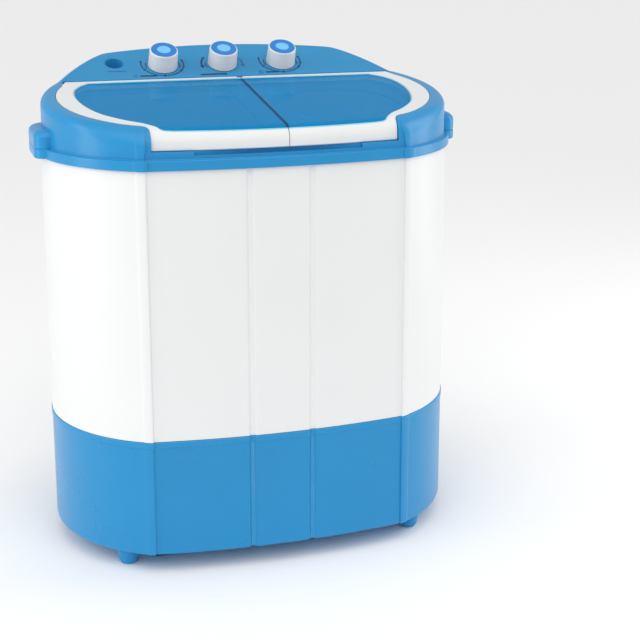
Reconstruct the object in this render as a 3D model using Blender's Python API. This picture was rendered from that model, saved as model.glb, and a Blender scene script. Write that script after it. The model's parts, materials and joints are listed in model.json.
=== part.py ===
"""Compact twin tub washing machine, in metres, +Z up, front towards -Y.

The origin is on the floor, under the middle of the machine.  Every separate piece is one object.
Pieces that move hang on an empty that stands on their joint's axis.
"""
import math

import bmesh
import bpy
from mathutils import Matrix, Vector

# Driving dimensions -------------------------------------------------------------------------------
GAP = 0.0003                 # left between pieces that touch

BOW_FRONT = 0.183            # half depth at the middle of the bowed front and back
CREASE_X = 0.172             # where the bowed front meets the round end
END_CENTRE_X = 0.0875        # centre of the elliptic ends
END_HALF_X = 0.1925
END_HALF_Y = 0.188
GROOVE_X = 0.041             # two shallow flutes down the front
GROOVE_HALF = 0.005
GROOVE_DEPTH = 0.003

FOOT_HEIGHT = 0.0245
FLOOR_THICK = 0.004
BASE_TOP = 0.1835
CABINET_TOP = 0.5395
FLANGE_TOP = 0.5525
FLANGE_PROUD = 0.003
COLLAR_INSET = 0.0035
WALL = 0.0045

LID_Z = 0.6103               # the lids lie on a gentle slope: z = LID_Z + LID_SLOPE * y
LID_SLOPE = 0.1276
LID_TILT = math.atan(LID_SLOPE)
BEND_Y = 0.0965              # behind this line the control panel is steeper
PANEL_SLOPE = 0.50
PANEL_TILT = math.atan(PANEL_SLOPE)
EDGE_R = 0.011               # rounding of the collar's top edge, and how much more it has at the front
EDGE_R_MORE = 0.011
POCKET_DEPTH = 0.0135        # the lids lie in this pocket
DECK_UNDER = 0.017           # underside of the deck, below the slope
PANEL_DEPTH = 0.003
PANEL_UNDER = 0.0062

LID_THICK = 0.009
LIP_Z = 0.5625               # lower edge of the lids' front lip
LIP_X = 0.161                # half width of the front lip
LIP_INSET = 0.010            # the lip stands this far inside the bowed front
LIP_R = 0.020                # rounding from the slope down to the lip
LEDGE_Z = LIP_Z - 0.0005
RECESS_DEPTH = 0.0055        # the finger recess below the lip
LID_SPLIT_X = 0.013
LID_GAP = 0.0005
HINGE_Y = 0.0900
HINGE_YZ = (HINGE_Y, LID_Z + LID_SLOPE * HINGE_Y - LID_THICK / 2)
LID_REAR_Y = HINGE_Y + LID_THICK / 2
LID_REAR_X = 0.2315
HINGE_RELIEF_X = 0.2365      # the pocket is this wide beside the hinge, so that the lids' corners can swing
WINDOW_THICK = 0.0025
WINDOW_FRONT = 0.0155        # the window ends this far behind the bowed front, on the rounding of the lip
PIN_R = 0.0022

WASH_X, WASH_Y = -0.106, -0.036        # pulsator axis
SPIN_X, SPIN_Y = 0.133, -0.032         # spin basket axis
MOTOR_X, MOTOR_Y = 0.002, -0.070       # wash motor axis
TUB_FLOOR = 0.2035
SPIN_TUB_FLOOR = 0.238
SPIN_OPENING = (0.078, 0.092)          # half sizes of the opening above the spin basket
SPIN_DRAIN = (0.088, 0.013)            # hole in the spin tub's floor
BRAKE_PIVOT = (SPIN_X + 0.040, SPIN_Y + 0.032)

KNOB_Y = 0.1245
KNOB_XS = {"wash_timer": -0.0905, "selector": -0.004, "spin_timer": 0.0825}
KNOB_R = 0.021
KNOB_HEIGHT = 0.026
INLET_X, INLET_Y = -0.158, 0.134
VALVE_X, VALVE_Y = -0.004, 0.106

COLOURS = {
    "blue_shell": ((0.045, 0.257, 0.56, 1), 0.35, 0.0),
    "white_shell": ((0.88, 0.89, 0.90, 1), 0.35, 0.0),
    "panel_blue": ((0.045, 0.27, 0.60, 1), 0.35, 0.0),
    "window_blue": ((0.05, 0.25, 0.55, 0.5), 0.10, 0.0),
    "knob_white": ((0.90, 0.90, 0.90, 1), 0.30, 0.0),
    "cap_blue": ((0.03, 0.25, 0.65, 1), 0.30, 0.0),
    "tub_white": ((0.80, 0.86, 0.90, 1), 0.40, 0.0),
    "grey_plastic": ((0.30, 0.31, 0.33, 1), 0.50, 0.0),
    "black_rubber": ((0.03, 0.03, 0.03, 1), 0.70, 0.0),
    "steel": ((0.62, 0.62, 0.64, 1), 0.30, 1.0),
    "motor_metal": ((0.35, 0.36, 0.38, 1), 0.45, 0.8),
}


# Helpers ------------------------------------------------------------------------------------------
def clear_scene():
    for old in list(bpy.data.objects):
        bpy.data.objects.remove(old)


def material(name):
    found = bpy.data.materials.get(name)
    if found:
        return found
    colour, roughness, metallic = COLOURS[name]
    made = bpy.data.materials.new(name)
    made.use_nodes = True
    shader = made.node_tree.nodes["Principled BSDF"]
    shader.inputs["Base Color"].default_value = colour
    shader.inputs["Roughness"].default_value = roughness
    shader.inputs["Metallic"].default_value = metallic
    shader.inputs["Alpha"].default_value = colour[3]
    return made


def add_object(name, mesh, slot, parent=None):
    made = bpy.data.objects.new(name, mesh)
    bpy.context.scene.collection.objects.link(made)
    made.parent = parent
    if slot:
        mesh.materials.append(material(slot))
    else:
        made.hide_render = True
        made.display_type = "WIRE"
    return made


def finish_mesh(name, bm, slot, parent=None):
    """Turn a bmesh into an object with its faces out and its round sides smooth."""
    bmesh.ops.recalc_face_normals(bm, faces=bm.faces)
    mesh = bpy.data.meshes.new(name)
    bm.to_mesh(mesh)
    bm.free()
    mesh.shade_smooth()
    mesh.set_sharp_from_angle(angle=math.radians(35))
    return add_object(name, mesh, slot, parent)


def loft(name, rings, slot, closed=False, parent=None, middle=None):
    """Skin over rings of equal count.  Closed joins the last ring to the first, else both ends are capped.

    With middle, the index of a mirrored ring's front middle point, the last cap is rungs across the
    mirror line.
    """
    bm = bmesh.new()
    loops = [[bm.verts.new(point) for point in ring] for ring in rings]
    pairs = list(zip(loops, loops[1:]))
    if closed:
        pairs.append((loops[-1], loops[0]))
    for low, high in pairs:
        for i in range(len(low)):
            j = (i + 1) % len(low)
            bm.faces.new((low[i], low[j], high[j], high[i]))
    if not closed:
        bm.faces.new(reversed(loops[0]))
    if not closed and middle is None:
        bm.faces.new(loops[-1])
    if middle is not None:
        last, count = loops[-1], len(loops[-1])
        for k in range(count // 2):
            rung = [last[(middle + k) % count], last[(middle + k + 1) % count],
                    last[(middle - k - 1) % count], last[(middle - k) % count]]
            bm.faces.new(list(dict.fromkeys(rung)))
    return finish_mesh(name, bm, slot, parent)


def prism(name, outline, low, high, slot=None, parent=None):
    """Upright prism; low and high are heights, or functions of the y of a point."""
    rings = []
    for level in (low, high):
        height = level if callable(level) else (lambda y, level=level: level)
        rings.append([(x, y, height(y)) for x, y in outline])
    return loft(name, rings, slot, parent=parent)


def turned(name, profile, slot=None, segments=32, centre=(0, 0, 0), parent=None):
    """Solid of revolution about Z.  A profile that leaves the axis at both ends is closed on itself."""
    bm = bmesh.new()
    cx, cy, cz = centre
    loops = []
    for radius, z in profile:
        if radius == 0:
            loops.append([bm.verts.new((cx, cy, cz + z))])
            continue
        turns = [2 * math.pi * k / segments for k in range(segments)]
        circle_points = [(cx + radius * math.cos(t), cy + radius * math.sin(t), cz + z) for t in turns]
        loops.append([bm.verts.new(point) for point in circle_points])
    pairs = list(zip(loops, loops[1:]))
    if len(loops[0]) > 1 and len(loops[-1]) > 1:
        pairs.append((loops[-1], loops[0]))
    for low, high in pairs:
        for i in range(segments):
            j = (i + 1) % segments
            if len(low) == 1:
                bm.faces.new((low[0], high[j], high[i]))
            elif len(high) == 1:
                bm.faces.new((low[i], low[j], high[0]))
            else:
                bm.faces.new((low[i], low[j], high[j], high[i]))
    return finish_mesh(name, bm, slot, parent)


def block(name, low, high, slot=None, bevel=0.0, parent=None):
    """Box between two corners, with its edges bevelled."""
    bm = bmesh.new()
    bmesh.ops.create_cube(bm, size=1.0)
    size = Vector(high) - Vector(low)
    middle = (Vector(high) + Vector(low)) / 2
    bmesh.ops.scale(bm, vec=size, verts=bm.verts)
    bmesh.ops.translate(bm, vec=middle, verts=bm.verts)
    if bevel:
        bmesh.ops.bevel(bm, geom=bm.edges[:], offset=bevel, segments=2, profile=0.5, affect="EDGES")
    return finish_mesh(name, bm, slot, parent)


def rod(name, start, end, radius, slot=None, segments=12):
    """Straight round bar between two points."""
    start, end = Vector(start), Vector(end)
    length = (end - start).length
    made = turned(name, [(0, 0), (radius, 0), (radius, length), (0, length)], slot, segments)
    made.matrix_world = Matrix.Translation(start) @ (end - start).to_track_quat("Z", "Y").to_matrix().to_4x4()
    return made


def smooth_path(points, steps=3):
    """Catmull-Rom curve through open points of two or three coordinates."""
    pts = [Vector(p) for p in points]
    pts = [pts[0] * 2 - pts[1]] + pts + [pts[-1] * 2 - pts[-2]]
    path = []
    for a, b, c, d in zip(pts, pts[1:], pts[2:], pts[3:]):
        for k in range(steps):
            t = k / steps
            path.append(0.5 * (2 * b + (c - a) * t + (2 * a - 5 * b + 4 * c - d) * t * t
                               + (3 * b - a - 3 * c + d) * t ** 3))
    path.append(pts[-2])
    return [tuple(p) for p in path]


def hose(name, points, radius, slot, steps=5):
    """Round tube on a smooth route, with filled ends."""
    curve = bpy.data.curves.new(name, "CURVE")
    curve.dimensions = "3D"
    curve.bevel_depth = radius
    curve.bevel_resolution = 2
    curve.use_fill_caps = True
    route = smooth_path(points, steps)
    spline = curve.splines.new("POLY")
    spline.points.add(len(route) - 1)
    for point, place in zip(spline.points, route):
        point.co = (*place, 1)
    return add_object(name, curve, slot)


def cut(target, cutter, operation="DIFFERENCE"):
    step = target.modifiers.new(cutter.name, "BOOLEAN")
    step.operation = operation
    step.object = cutter
    step.solver = "EXACT"


def empty(name, place, tilt=0.0):
    made = bpy.data.objects.new(name, None)
    made.location = place
    made.rotation_euler = (tilt, 0, 0)
    bpy.context.scene.collection.objects.link(made)
    return made


def move_origin(piece, place):
    """Put a piece's origin on its axis, leaving its shape where it is."""
    piece.data.transform(Matrix.Translation(-Vector(place)))
    piece.location = place


def lid_plane(drop=0.0):
    """Height of the slope that the lids lie on, less a drop, as a function of y."""
    return lambda y: LID_Z + LID_SLOPE * y - drop


def panel_plane(drop=0.0):
    """Height of the control panel's slope, less a drop, as a function of y."""
    return lambda y: LID_Z + LID_SLOPE * BEND_Y + PANEL_SLOPE * (y - BEND_Y) - drop


def top_height(y):
    return max(lid_plane()(y), panel_plane()(y))


# Outlines -----------------------------------------------------------------------------------------
def inset(outline, distance):
    """Move each side of a counter-clockwise outline inwards, by one distance or by one per point."""
    distances = distance if isinstance(distance, list) else [distance] * len(outline)
    moved = []
    for i, point in enumerate(outline):
        before = Vector(outline[i - 1])
        here = Vector(point)
        after = Vector(outline[(i + 1) % len(outline)])
        a = (here - before).normalized()
        b = (after - here).normalized()
        normal_a = Vector((-a.y, a.x))
        normal_b = Vector((-b.y, b.x))
        bisector = (normal_a + normal_b).normalized()
        stretch = min(1.0 / max(bisector.dot(normal_a), 0.5), 1.6)
        moved.append(tuple(here + bisector * distances[i] * stretch))
    return moved


def bow(x):
    """Depth of the gently bowed front at x."""
    crease_y = END_HALF_Y * math.sqrt(1 - ((CREASE_X - END_CENTRE_X) / END_HALF_X) ** 2)
    return BOW_FRONT - (BOW_FRONT - crease_y) * (x / CREASE_X) ** 2


def footprint(groove=0.0):
    """The machine's plan: bowed front and back, elliptic ends, two flutes in the front."""
    flute = [(-GROOVE_HALF, 0), (-GROOVE_HALF * 0.4, groove), (GROOVE_HALF * 0.4, groove), (GROOVE_HALF, 0)]
    right = [(GROOVE_X + dx, depth) for dx, depth in flute]
    left = [(-x, depth) for x, depth in reversed(right)]
    plain = [(CREASE_X * k / 6, 0) for k in (2.6, 3.7, 4.8)]
    mirrored = [(-x, 0) for x, _ in reversed(plain)]
    front = mirrored + left + [(0, 0)] + right + plain
    outline = [(x, -bow(x) + depth) for x, depth in front]
    edge = math.acos((CREASE_X - END_CENTRE_X) / END_HALF_X)
    turns = [-edge + 2 * edge * k / 14 for k in range(15)]
    outline += [(END_CENTRE_X + END_HALF_X * math.cos(t), END_HALF_Y * math.sin(t)) for t in turns]
    outline += [(CREASE_X * k / 4, bow(CREASE_X * k / 4)) for k in (3, 2, 1, 0, -1, -2, -3)]
    outline += [(-END_CENTRE_X - END_HALF_X * math.cos(t), -END_HALF_Y * math.sin(t)) for t in turns]
    return outline


def mirrored_outline(right_side):
    """Close a right-hand side that runs from front to back with its mirror image."""
    return right_side + [(-x, y) for x, y in reversed(right_side)]


LID_CORNER = [(LIP_X, -0.1585), (0.1622, -0.1500), (0.1680, -0.1420), (0.1790, -0.1365)]
LID_END_INSET = 0.0244       # the lids' round ends run parallel to the machine's
WINDOW_SIDE = [(0.1433, -0.1571), (0.1484, -0.1543), (0.1524, -0.1486), (0.1578, -0.1402), (0.1663, -0.1293),
               (0.1751, -0.1215), (0.1860, -0.1113), (0.1985, -0.0965), (0.2110, -0.0780), (0.2215, -0.0520),
               (0.2295, -0.0170), (0.2315, 0.0150), (0.2280, 0.0440), (0.2180, 0.0665), (0.2040, 0.0830)]
OPENING_SIDE = [(0.1480, -0.1480), (0.1545, -0.1430), (0.1650, -0.1310), (0.1830, -0.1145), (0.2015, -0.0965),
                (0.2140, -0.0780), (0.2225, -0.0520), (0.2295, -0.0170), (0.2315, 0.0150), (0.2280, 0.0440),
                (0.2180, 0.0665), (0.2040, 0.0830)]


def lid_outline(rear_y):
    """Both lids together: bowed front lip, S-shaped corners, round ends, straight hinge side."""
    front = [(LIP_X * k / 4, -bow(LIP_X * k / 4) + 0.002) for k in range(1, 5)]
    half_x, half_y = END_HALF_X - LID_END_INSET, END_HALF_Y - LID_END_INSET
    start, end = math.asin(-0.129 / half_y), math.asin(0.070 / half_y)
    turns = [start + (end - start) * k / 8 for k in range(9)]
    side = [(END_CENTRE_X + half_x * math.cos(t), half_y * math.sin(t)) for t in turns]
    return mirrored_outline(front + smooth_path(LID_CORNER) + side + [(LID_REAR_X, rear_y)])


def window_outline():
    front = [(x, WINDOW_FRONT - bow(x)) for x in (0.035, 0.070, 0.100, 0.125)]
    return mirrored_outline(front + smooth_path(WINDOW_SIDE))


def clip(outline, x_limit, keep):
    """Keep the part of an outline on one side of x_limit: keep is -1 for the left, 1 for the right."""
    kept = []
    for i, point in enumerate(outline):
        after = outline[(i + 1) % len(outline)]
        inside = keep * (point[0] - x_limit) >= 0
        if inside:
            kept.append(point)
        if inside != (keep * (after[0] - x_limit) >= 0):
            part = (x_limit - point[0]) / (after[0] - point[0])
            kept.append((x_limit, point[1] + part * (after[1] - point[1])))
    return kept


def circle(cx, cy, radius, count=32):
    return [(cx + radius * math.cos(2 * math.pi * k / count), cy + radius * math.sin(2 * math.pi * k / count))
            for k in range(count)]


def at(outline, level):
    """An outline as a ring at a height, or at a height that depends on y."""
    return [(x, y, level(y) if callable(level) else level) for x, y in outline]


# Casing -------------------------------------------------------------------------------------------
def make_base():
    plan = footprint(GROOVE_DEPTH)
    inner = inset(footprint(), WALL + 0.001)
    rings = [at(inset(plan, edge), z) for edge, z in
             ((0.006, FOOT_HEIGHT), (0.0016, FOOT_HEIGHT + 0.0025), (0.001, FOOT_HEIGHT + 0.007),
              (0.001, BASE_TOP - 0.008), (0.0, BASE_TOP - 0.0075), (0.0, BASE_TOP))]
    rings += [at(inner, BASE_TOP), at(inner, FOOT_HEIGHT + FLOOR_THICK)]
    base = loft("base", rings, "blue_shell")
    cut(base, outlet_bore("base_outlet_bore", 0.0104))
    cut(base, gland_bore("base_gland_bore", 0.0064))


def make_feet():
    profile = [(0, 0), (0.0085, 0), (0.0115, 0.0015), (0.0130, 0.005), (0.0165, FOOT_HEIGHT - 0.003),
               (0.0180, FOOT_HEIGHT - GAP), (0, FOOT_HEIGHT - GAP)]
    for name, x, y in (("foot_front_left", -0.200, -0.118), ("foot_front_right", 0.200, -0.118),
                       ("foot_rear_left", -0.200, 0.118), ("foot_rear_right", 0.200, 0.118)):
        foot = turned(name, profile, "blue_shell", 16)
        foot.location = (x, y, 0)


def make_cabinet():
    plan = inset(footprint(GROOVE_DEPTH), 0.001)
    inner = inset(footprint(), WALL + 0.001)
    low, high = BASE_TOP + GAP, CABINET_TOP - GAP
    cabinet = loft("cabinet", [at(plan, low), at(plan, high), at(inner, high), at(inner, low)],
                   "white_shell", closed=True)
    window = block("rear_service_opening", (-0.115, 0.14, 0.225), (0.115, 0.20, 0.495))
    cut(cabinet, window)


REAR_COVER_HALF = 0.130
REAR_SCREWS = {"rear_screw_left": -0.122, "rear_screw_right": 0.122}
REAR_SCREW_Z = 0.36


def rear_slope(x):
    """Direction that the curved back faces at x."""
    step = 0.001
    return Vector((bow(x) - bow(x + step), step, 0)).normalized()


def make_rear_cover():
    xs = [REAR_COVER_HALF * k / 6 for k in range(6, -7, -1)]
    skin = [Vector((x, bow(x), 0)) + rear_slope(x) * (-0.001 + GAP) for x in xs]
    back = [Vector((x, bow(x), 0)) + rear_slope(x) * 0.001 for x in reversed(xs)]
    outline = [(p.x, p.y) for p in skin + back]
    cover = loft("rear_cover", [at(outline, 0.210), at(outline, 0.510)], "grey_plastic")
    for name, x in REAR_SCREWS.items():
        out = rear_slope(x)
        place = Vector((x, bow(x), REAR_SCREW_Z)) + out * (0.001 + GAP)
        for target in (cover, bpy.data.objects["cabinet"]):
            cut(target, rod(f"{name}_bore_{target.name}", place - out * 0.008, place + out * 0.004, 0.0024))
        screw = turned(name, [(0, -0.0065), (0.0018, -0.0065), (0.0018, 0), (0.0040, 0), (0.0036, 0.0014),
                              (0.0016, 0.0020), (0, 0.0020)], "steel", 12)
        screw.matrix_world = Matrix.Translation(place) @ out.to_track_quat("Z", "Y").to_matrix().to_4x4()


def shoulder(y):
    """Radius of the collar's rounded top edge: larger towards the front ends."""
    part = min(max((-0.100 - y) / 0.050, 0.0), 1.0)
    return EDGE_R + EDGE_R_MORE * part * part * (3 - 2 * part)


def collar_ring(plan, turn):
    """The collar's top edge at one step of its rounding, from 0 at its wall to pi / 2 at its top."""
    radii = [shoulder(y) for _, y in plan]
    moved = inset(plan, [COLLAR_INSET + r * (1 - math.cos(turn)) for r in radii])
    for i, (x, y) in enumerate(moved):          # the two points nearest the bend are slid onto it
        after = moved[(i + 1) % len(moved)]
        if (y - BEND_Y) * (after[1] - BEND_Y) < 0:
            near = i if abs(y - BEND_Y) < abs(after[1] - BEND_Y) else (i + 1) % len(moved)
            part = (BEND_Y - y) / (after[1] - y)
            moved[near] = (x + part * (after[0] - x), BEND_Y)
    return [(x, y, top_height(y) - r * (1 - math.sin(turn))) for (x, y), r in zip(moved, radii)]


def make_top_cover():
    plan = footprint()
    rings = [at(inset(plan, -FLANGE_PROUD), CABINET_TOP), at(inset(plan, -FLANGE_PROUD), FLANGE_TOP - 0.001),
             at(inset(plan, 0.001 - FLANGE_PROUD), FLANGE_TOP), at(inset(plan, COLLAR_INSET), FLANGE_TOP)]
    rings += [collar_ring(plan, math.pi / 2 * k / 4) for k in range(5)]
    cover = loft("top_cover", rings, "blue_shell", middle=plan.index((0, -BOW_FRONT)))
    for side, x0, x1 in (("left", -0.2915, -0.255), ("right", 0.255, 0.2915)):
        lug = block(f"lug_{side}", (x0, -0.045, CABINET_TOP), (x1, 0.045, 0.5765), bevel=0.007)
        cut(cover, lug, "UNION")
    hollow_cover(cover, plan)
    open_cover(cover)
    add_hinge_post(cover)


def hollow_cover(cover, plan):
    """Take out the inside of the cover from below."""
    hollow = inset(plan, 0.012)
    cut(cover, prism("skirt_hollow", hollow, CABINET_TOP - 0.01, LEDGE_Z - RECESS_DEPTH - 0.003))
    behind_lip = [(x, y if y > 0 or abs(x) > LIP_X + 0.0055 else max(y, -0.147)) for x, y in hollow]
    cut(cover, prism("deck_hollow", behind_lip, CABINET_TOP - 0.02, lid_plane(DECK_UNDER)))
    behind = [(x, y) for x, y in inset(plan, 0.014) if y > 0.12]
    behind = [(behind[-1][0], 0.105)] + [(-behind[-1][0], 0.105)] + behind
    cut(cover, prism("panel_hollow", behind, CABINET_TOP - 0.03, panel_plane(PANEL_UNDER)))
    for side, x0, x1 in (("left", -0.2885, -0.260), ("right", 0.260, 0.2885)):
        cut(cover, block(f"lug_hollow_{side}", (x0, -0.0415, CABINET_TOP - 0.01), (x1, 0.0415, 0.5735)))


def open_cover(cover):
    """Cut the lids' pocket, the seat of the control panel and the openings above the tubs."""
    pocket = []
    for x, y in inset(lid_outline(LID_REAR_Y), -0.0008):
        wide = max(abs(x), HINGE_RELIEF_X) if y > 0.078 else abs(x)
        pocket.append((math.copysign(wide, x), y))
    cut(cover, prism("lid_pocket", pocket, lid_plane(POCKET_DEPTH), lid_plane(-0.04)))
    notch_x = LIP_X + 0.0015
    cut(cover, block("lip_notch", (-notch_x, -0.21, LEDGE_Z), (notch_x, -0.150, 0.64)))
    cut(cover, block("finger_recess", (-0.110, -0.21, LEDGE_Z - RECESS_DEPTH), (0.110, -0.166, 0.63)))
    cut(cover, prism("panel_seat", panel_outline(0), panel_plane(PANEL_DEPTH), panel_plane(-0.02)))
    cut(cover, block("panel_front_seat", (-HINGE_RELIEF_X, 0.090, panel_plane(PANEL_DEPTH)(BEND_Y)),
                     (HINGE_RELIEF_X, BEND_Y + 0.0005, 0.66)))
    cut(cover, prism("wash_opening", wash_opening(0), 0.50, 0.66))
    cut(cover, prism("spin_opening", spin_opening(0), 0.50, 0.66))
    for name, x in KNOB_XS.items():
        cut(cover, shaft_bore(f"{name}_cover_bore", x))
    cut(cover, inlet_bore("inlet_cover_bore", 0.0142))


def add_hinge_post(cover):
    """The post between the lids that carries the inner ends of their pins, and the bores for the pins."""
    foot, head = lid_plane(POCKET_DEPTH + 0.002)(HINGE_Y), lid_plane(0.0012)(HINGE_Y)
    post = block("hinge_post", (LID_SPLIT_X - 0.003, HINGE_Y - 0.0035, foot),
                 (LID_SPLIT_X + 0.003, HINGE_Y + 0.0058, head))
    cut(cover, post, "UNION")
    cut(cover, rod("hinge_bore", (-0.2405, *HINGE_YZ), (0.2405, *HINGE_YZ), PIN_R + 0.0005))


def panel_outline(shrink):
    """The D-shaped control panel behind the lids."""
    edge = 0.012
    start = math.asin((BEND_Y - 0.0003) / (END_HALF_Y - edge))
    end = math.acos((CREASE_X - END_CENTRE_X) / END_HALF_X)
    side = []
    for k in range(8):
        t = start + (end - start) * k / 7
        side.append((END_CENTRE_X + (END_HALF_X - edge) * math.cos(t), (END_HALF_Y - edge) * math.sin(t)))
    side += [(CREASE_X * k / 4, bow(CREASE_X * k / 4) - edge) for k in (3, 2, 1)]
    return inset(mirrored_outline(side), shrink)


def on_panel(x, y):
    """A tilted frame on the control panel: its Z stands square on the slope."""
    return Matrix.Translation((x, y, panel_plane()(y))) @ Matrix.Rotation(PANEL_TILT, 4, "X")


def shaft_bore(name, x):
    bore = turned(name, [(0, -0.02), (0.0062, -0.02), (0.0062, 0.01), (0, 0.01)], None, 16)
    bore.matrix_world = on_panel(x, KNOB_Y)
    return bore


def inlet_bore(name, radius):
    bore = turned(name, [(0, -0.05), (radius, -0.05), (radius, 0.02), (0, 0.02)], None, 24)
    bore.matrix_world = on_panel(INLET_X, INLET_Y)
    return bore


def make_control_panel():
    panel = prism("control_panel", panel_outline(GAP), panel_plane(PANEL_DEPTH - GAP), panel_plane(0),
                  "panel_blue")
    for name, x in KNOB_XS.items():
        cut(panel, shaft_bore(f"{name}_panel_bore", x))
    cut(panel, inlet_bore("inlet_panel_bore", 0.0142))


def make_inlet_funnel():
    funnel = turned("water_inlet_funnel",
                    [(0.0138, -0.0005), (0.0125, -0.0015), (0.0118, -0.0150), (0.0050, -0.0240),
                     (0.0050, -0.0340), (0.0065, -0.0340), (0.0066, -0.0250), (0.0134, -0.0155),
                     (0.0138, -0.0100)],
                    "panel_blue", 24)
    funnel.matrix_world = on_panel(INLET_X, INLET_Y)


# Lids ---------------------------------------------------------------------------------------------
def lid_section(x):
    """Side view of a lid at x: round at the hinge, a gentle slope, then the lip that falls to LIP_Z."""
    hy, hz = HINGE_YZ
    radius = LID_THICK / 2 * math.cos(LID_TILT)
    turns = [LID_TILT + math.pi / 2 - math.pi * k / 8 for k in range(9)]
    hinge = [(hy + radius * math.cos(t), hz + radius * math.sin(t)) for t in turns]
    cy = LIP_INSET - bow(x) + LIP_R
    cz = lid_plane(LIP_R / math.cos(LID_TILT))(cy)
    under_r = LIP_R - 2 * radius
    falls = [LID_TILT + math.pi / 2 + (math.pi / 2 - LID_TILT) * k / 5 for k in range(6)]
    under = [(cy + under_r * math.cos(t), cz + under_r * math.sin(t)) for t in falls]
    over = [(cy + LIP_R * math.cos(t), cz + LIP_R * math.sin(t)) for t in reversed(falls)]
    return hinge + under + [(cy - under_r, LIP_Z), (cy - LIP_R, LIP_Z)] + over


def window_section(x):
    """Side view of a window at x: it follows the slope and part of the rounding, a millimetre below them."""
    cy = LIP_INSET - bow(x) + LIP_R
    cz = lid_plane(LIP_R / math.cos(LID_TILT))(cy)
    falls = [LID_TILT + math.pi / 2 + math.radians(68) * k / 6 for k in range(7)]
    sides = []
    for drop in (0.001, 0.001 + WINDOW_THICK):
        radius = LIP_R - drop * math.cos(LID_TILT)
        arc = [(cy + radius * math.cos(t), cz + radius * math.sin(t)) for t in falls]
        sides.append([(HINGE_Y, lid_plane(drop)(HINGE_Y))] + arc)
    return sides[1] + sides[0][::-1]


def make_lid(name, xs, side):
    """One lid: a white frame, open at the split, with a bore for its hinge pin, and a tinted window."""
    frame = loft(f"{name}_lid_frame", [[(x, y, z) for y, z in lid_section(x)] for x in xs], "white_shell")
    inner_x = LID_SPLIT_X + side * LID_GAP
    plan = clip(lid_outline(LID_REAR_Y + 0.001), inner_x, side)
    cut(frame, prism(f"{name}_lid_plan", plan, 0.45, 0.75), "INTERSECT")
    hole = clip(window_outline(), LID_SPLIT_X - side * 0.01, side)
    cut(frame, prism(f"{name}_window_hole", hole, 0.45, 0.75))
    cut(frame, block(f"{name}_hinge_notch", (LID_SPLIT_X - 0.0045, HINGE_Y - 0.0062, 0.55),
                     (LID_SPLIT_X + 0.0045, 0.11, 0.70)))
    bore_ends = (xs[0] - 0.01, *HINGE_YZ), (xs[-1] + 0.01, *HINGE_YZ)
    cut(frame, rod(f"{name}_pin_bore", *bore_ends, PIN_R + 0.0005))
    rings = [[(x, y, z) for y, z in window_section(x)] for x in xs]
    window = loft(f"{name}_lid_window", rings, "window_blue")
    glass = clip(inset(window_outline(), GAP), inner_x, side)
    cut(window, prism(f"{name}_glass_plan", glass, 0.45, 0.75), "INTERSECT")
    move_origin(window, (0, *HINGE_YZ))
    move_origin(frame, (0, *HINGE_YZ))


def make_lids():
    left = [-0.300, -0.200, -0.165, -0.130, -0.090, -0.050, -0.018]
    make_lid("wash", left + [LID_SPLIT_X + 0.002], -1)
    make_lid("spin", [LID_SPLIT_X - 0.002, 0.018] + [-x for x in reversed(left[:-1])], 1)
    rod("wash_lid_pin", (-0.2395, *HINGE_YZ), (LID_SPLIT_X - 0.0005, *HINGE_YZ), PIN_R, "steel")
    rod("spin_lid_pin", (LID_SPLIT_X + 0.0005, *HINGE_YZ), (0.2395, *HINGE_YZ), PIN_R, "steel")


# Knobs and switches -------------------------------------------------------------------------------
def make_knobs():
    for name, x in KNOB_XS.items():
        pivot = empty(f"{name}_axis", (x, KNOB_Y, panel_plane()(KNOB_Y)), PANEL_TILT)
        knob_body(f"{name}_knob", pivot)
        turned(f"{name}_knob_cap", [(0, KNOB_HEIGHT + GAP), (0.0178, KNOB_HEIGHT + GAP), (0.0172, 0.0276),
                                    (0.0108, 0.0276), (0.0100, 0.0270), (0, 0.0270)], "cap_blue", 24,
               parent=pivot)
        turned(f"{name}_shaft", [(0, -0.0115), (0.0038, -0.0115), (0.0038, 0.0140), (0, 0.0140)],
               "steel", 12, parent=pivot)
        make_switch(name, x)


def knob_body(name, pivot):
    """A tapered knob with a blind bore for its shaft; both ends of the profile are on the axis."""
    profile = [(0, 0.0145), (0.0046, 0.0145), (0.0046, 0.0006), (0.0206, 0.0006), (KNOB_R, 0.0018),
               (0.0193, KNOB_HEIGHT - 0.0015), (0.0183, KNOB_HEIGHT), (0, KNOB_HEIGHT)]
    return turned(name, profile, "knob_white", 24, parent=pivot)


def make_switch(name, x):
    node = "selector_switch" if name == "selector" else name
    place = on_panel(x, KNOB_Y)
    low, high = -0.0365, -(PANEL_UNDER + GAP) * math.cos(PANEL_TILT) - 0.0003
    box = block(node, (-0.023, -0.019, low), (0.023, 0.021, high), "grey_plastic", 0.002)
    box.matrix_world = place
    bore = turned(f"{node}_bore", [(0, -0.0125), (0.0048, -0.0125), (0.0048, 0.01), (0, 0.01)], None, 12)
    bore.matrix_world = place
    cut(box, bore)


# Wash side ----------------------------------------------------------------------------------------
def wash_opening(shrink):
    edge = mirrored_outline(smooth_path(OPENING_SIDE))
    return inset(clip(inset(edge, 0.0055), -0.006, -1), shrink)


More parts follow.
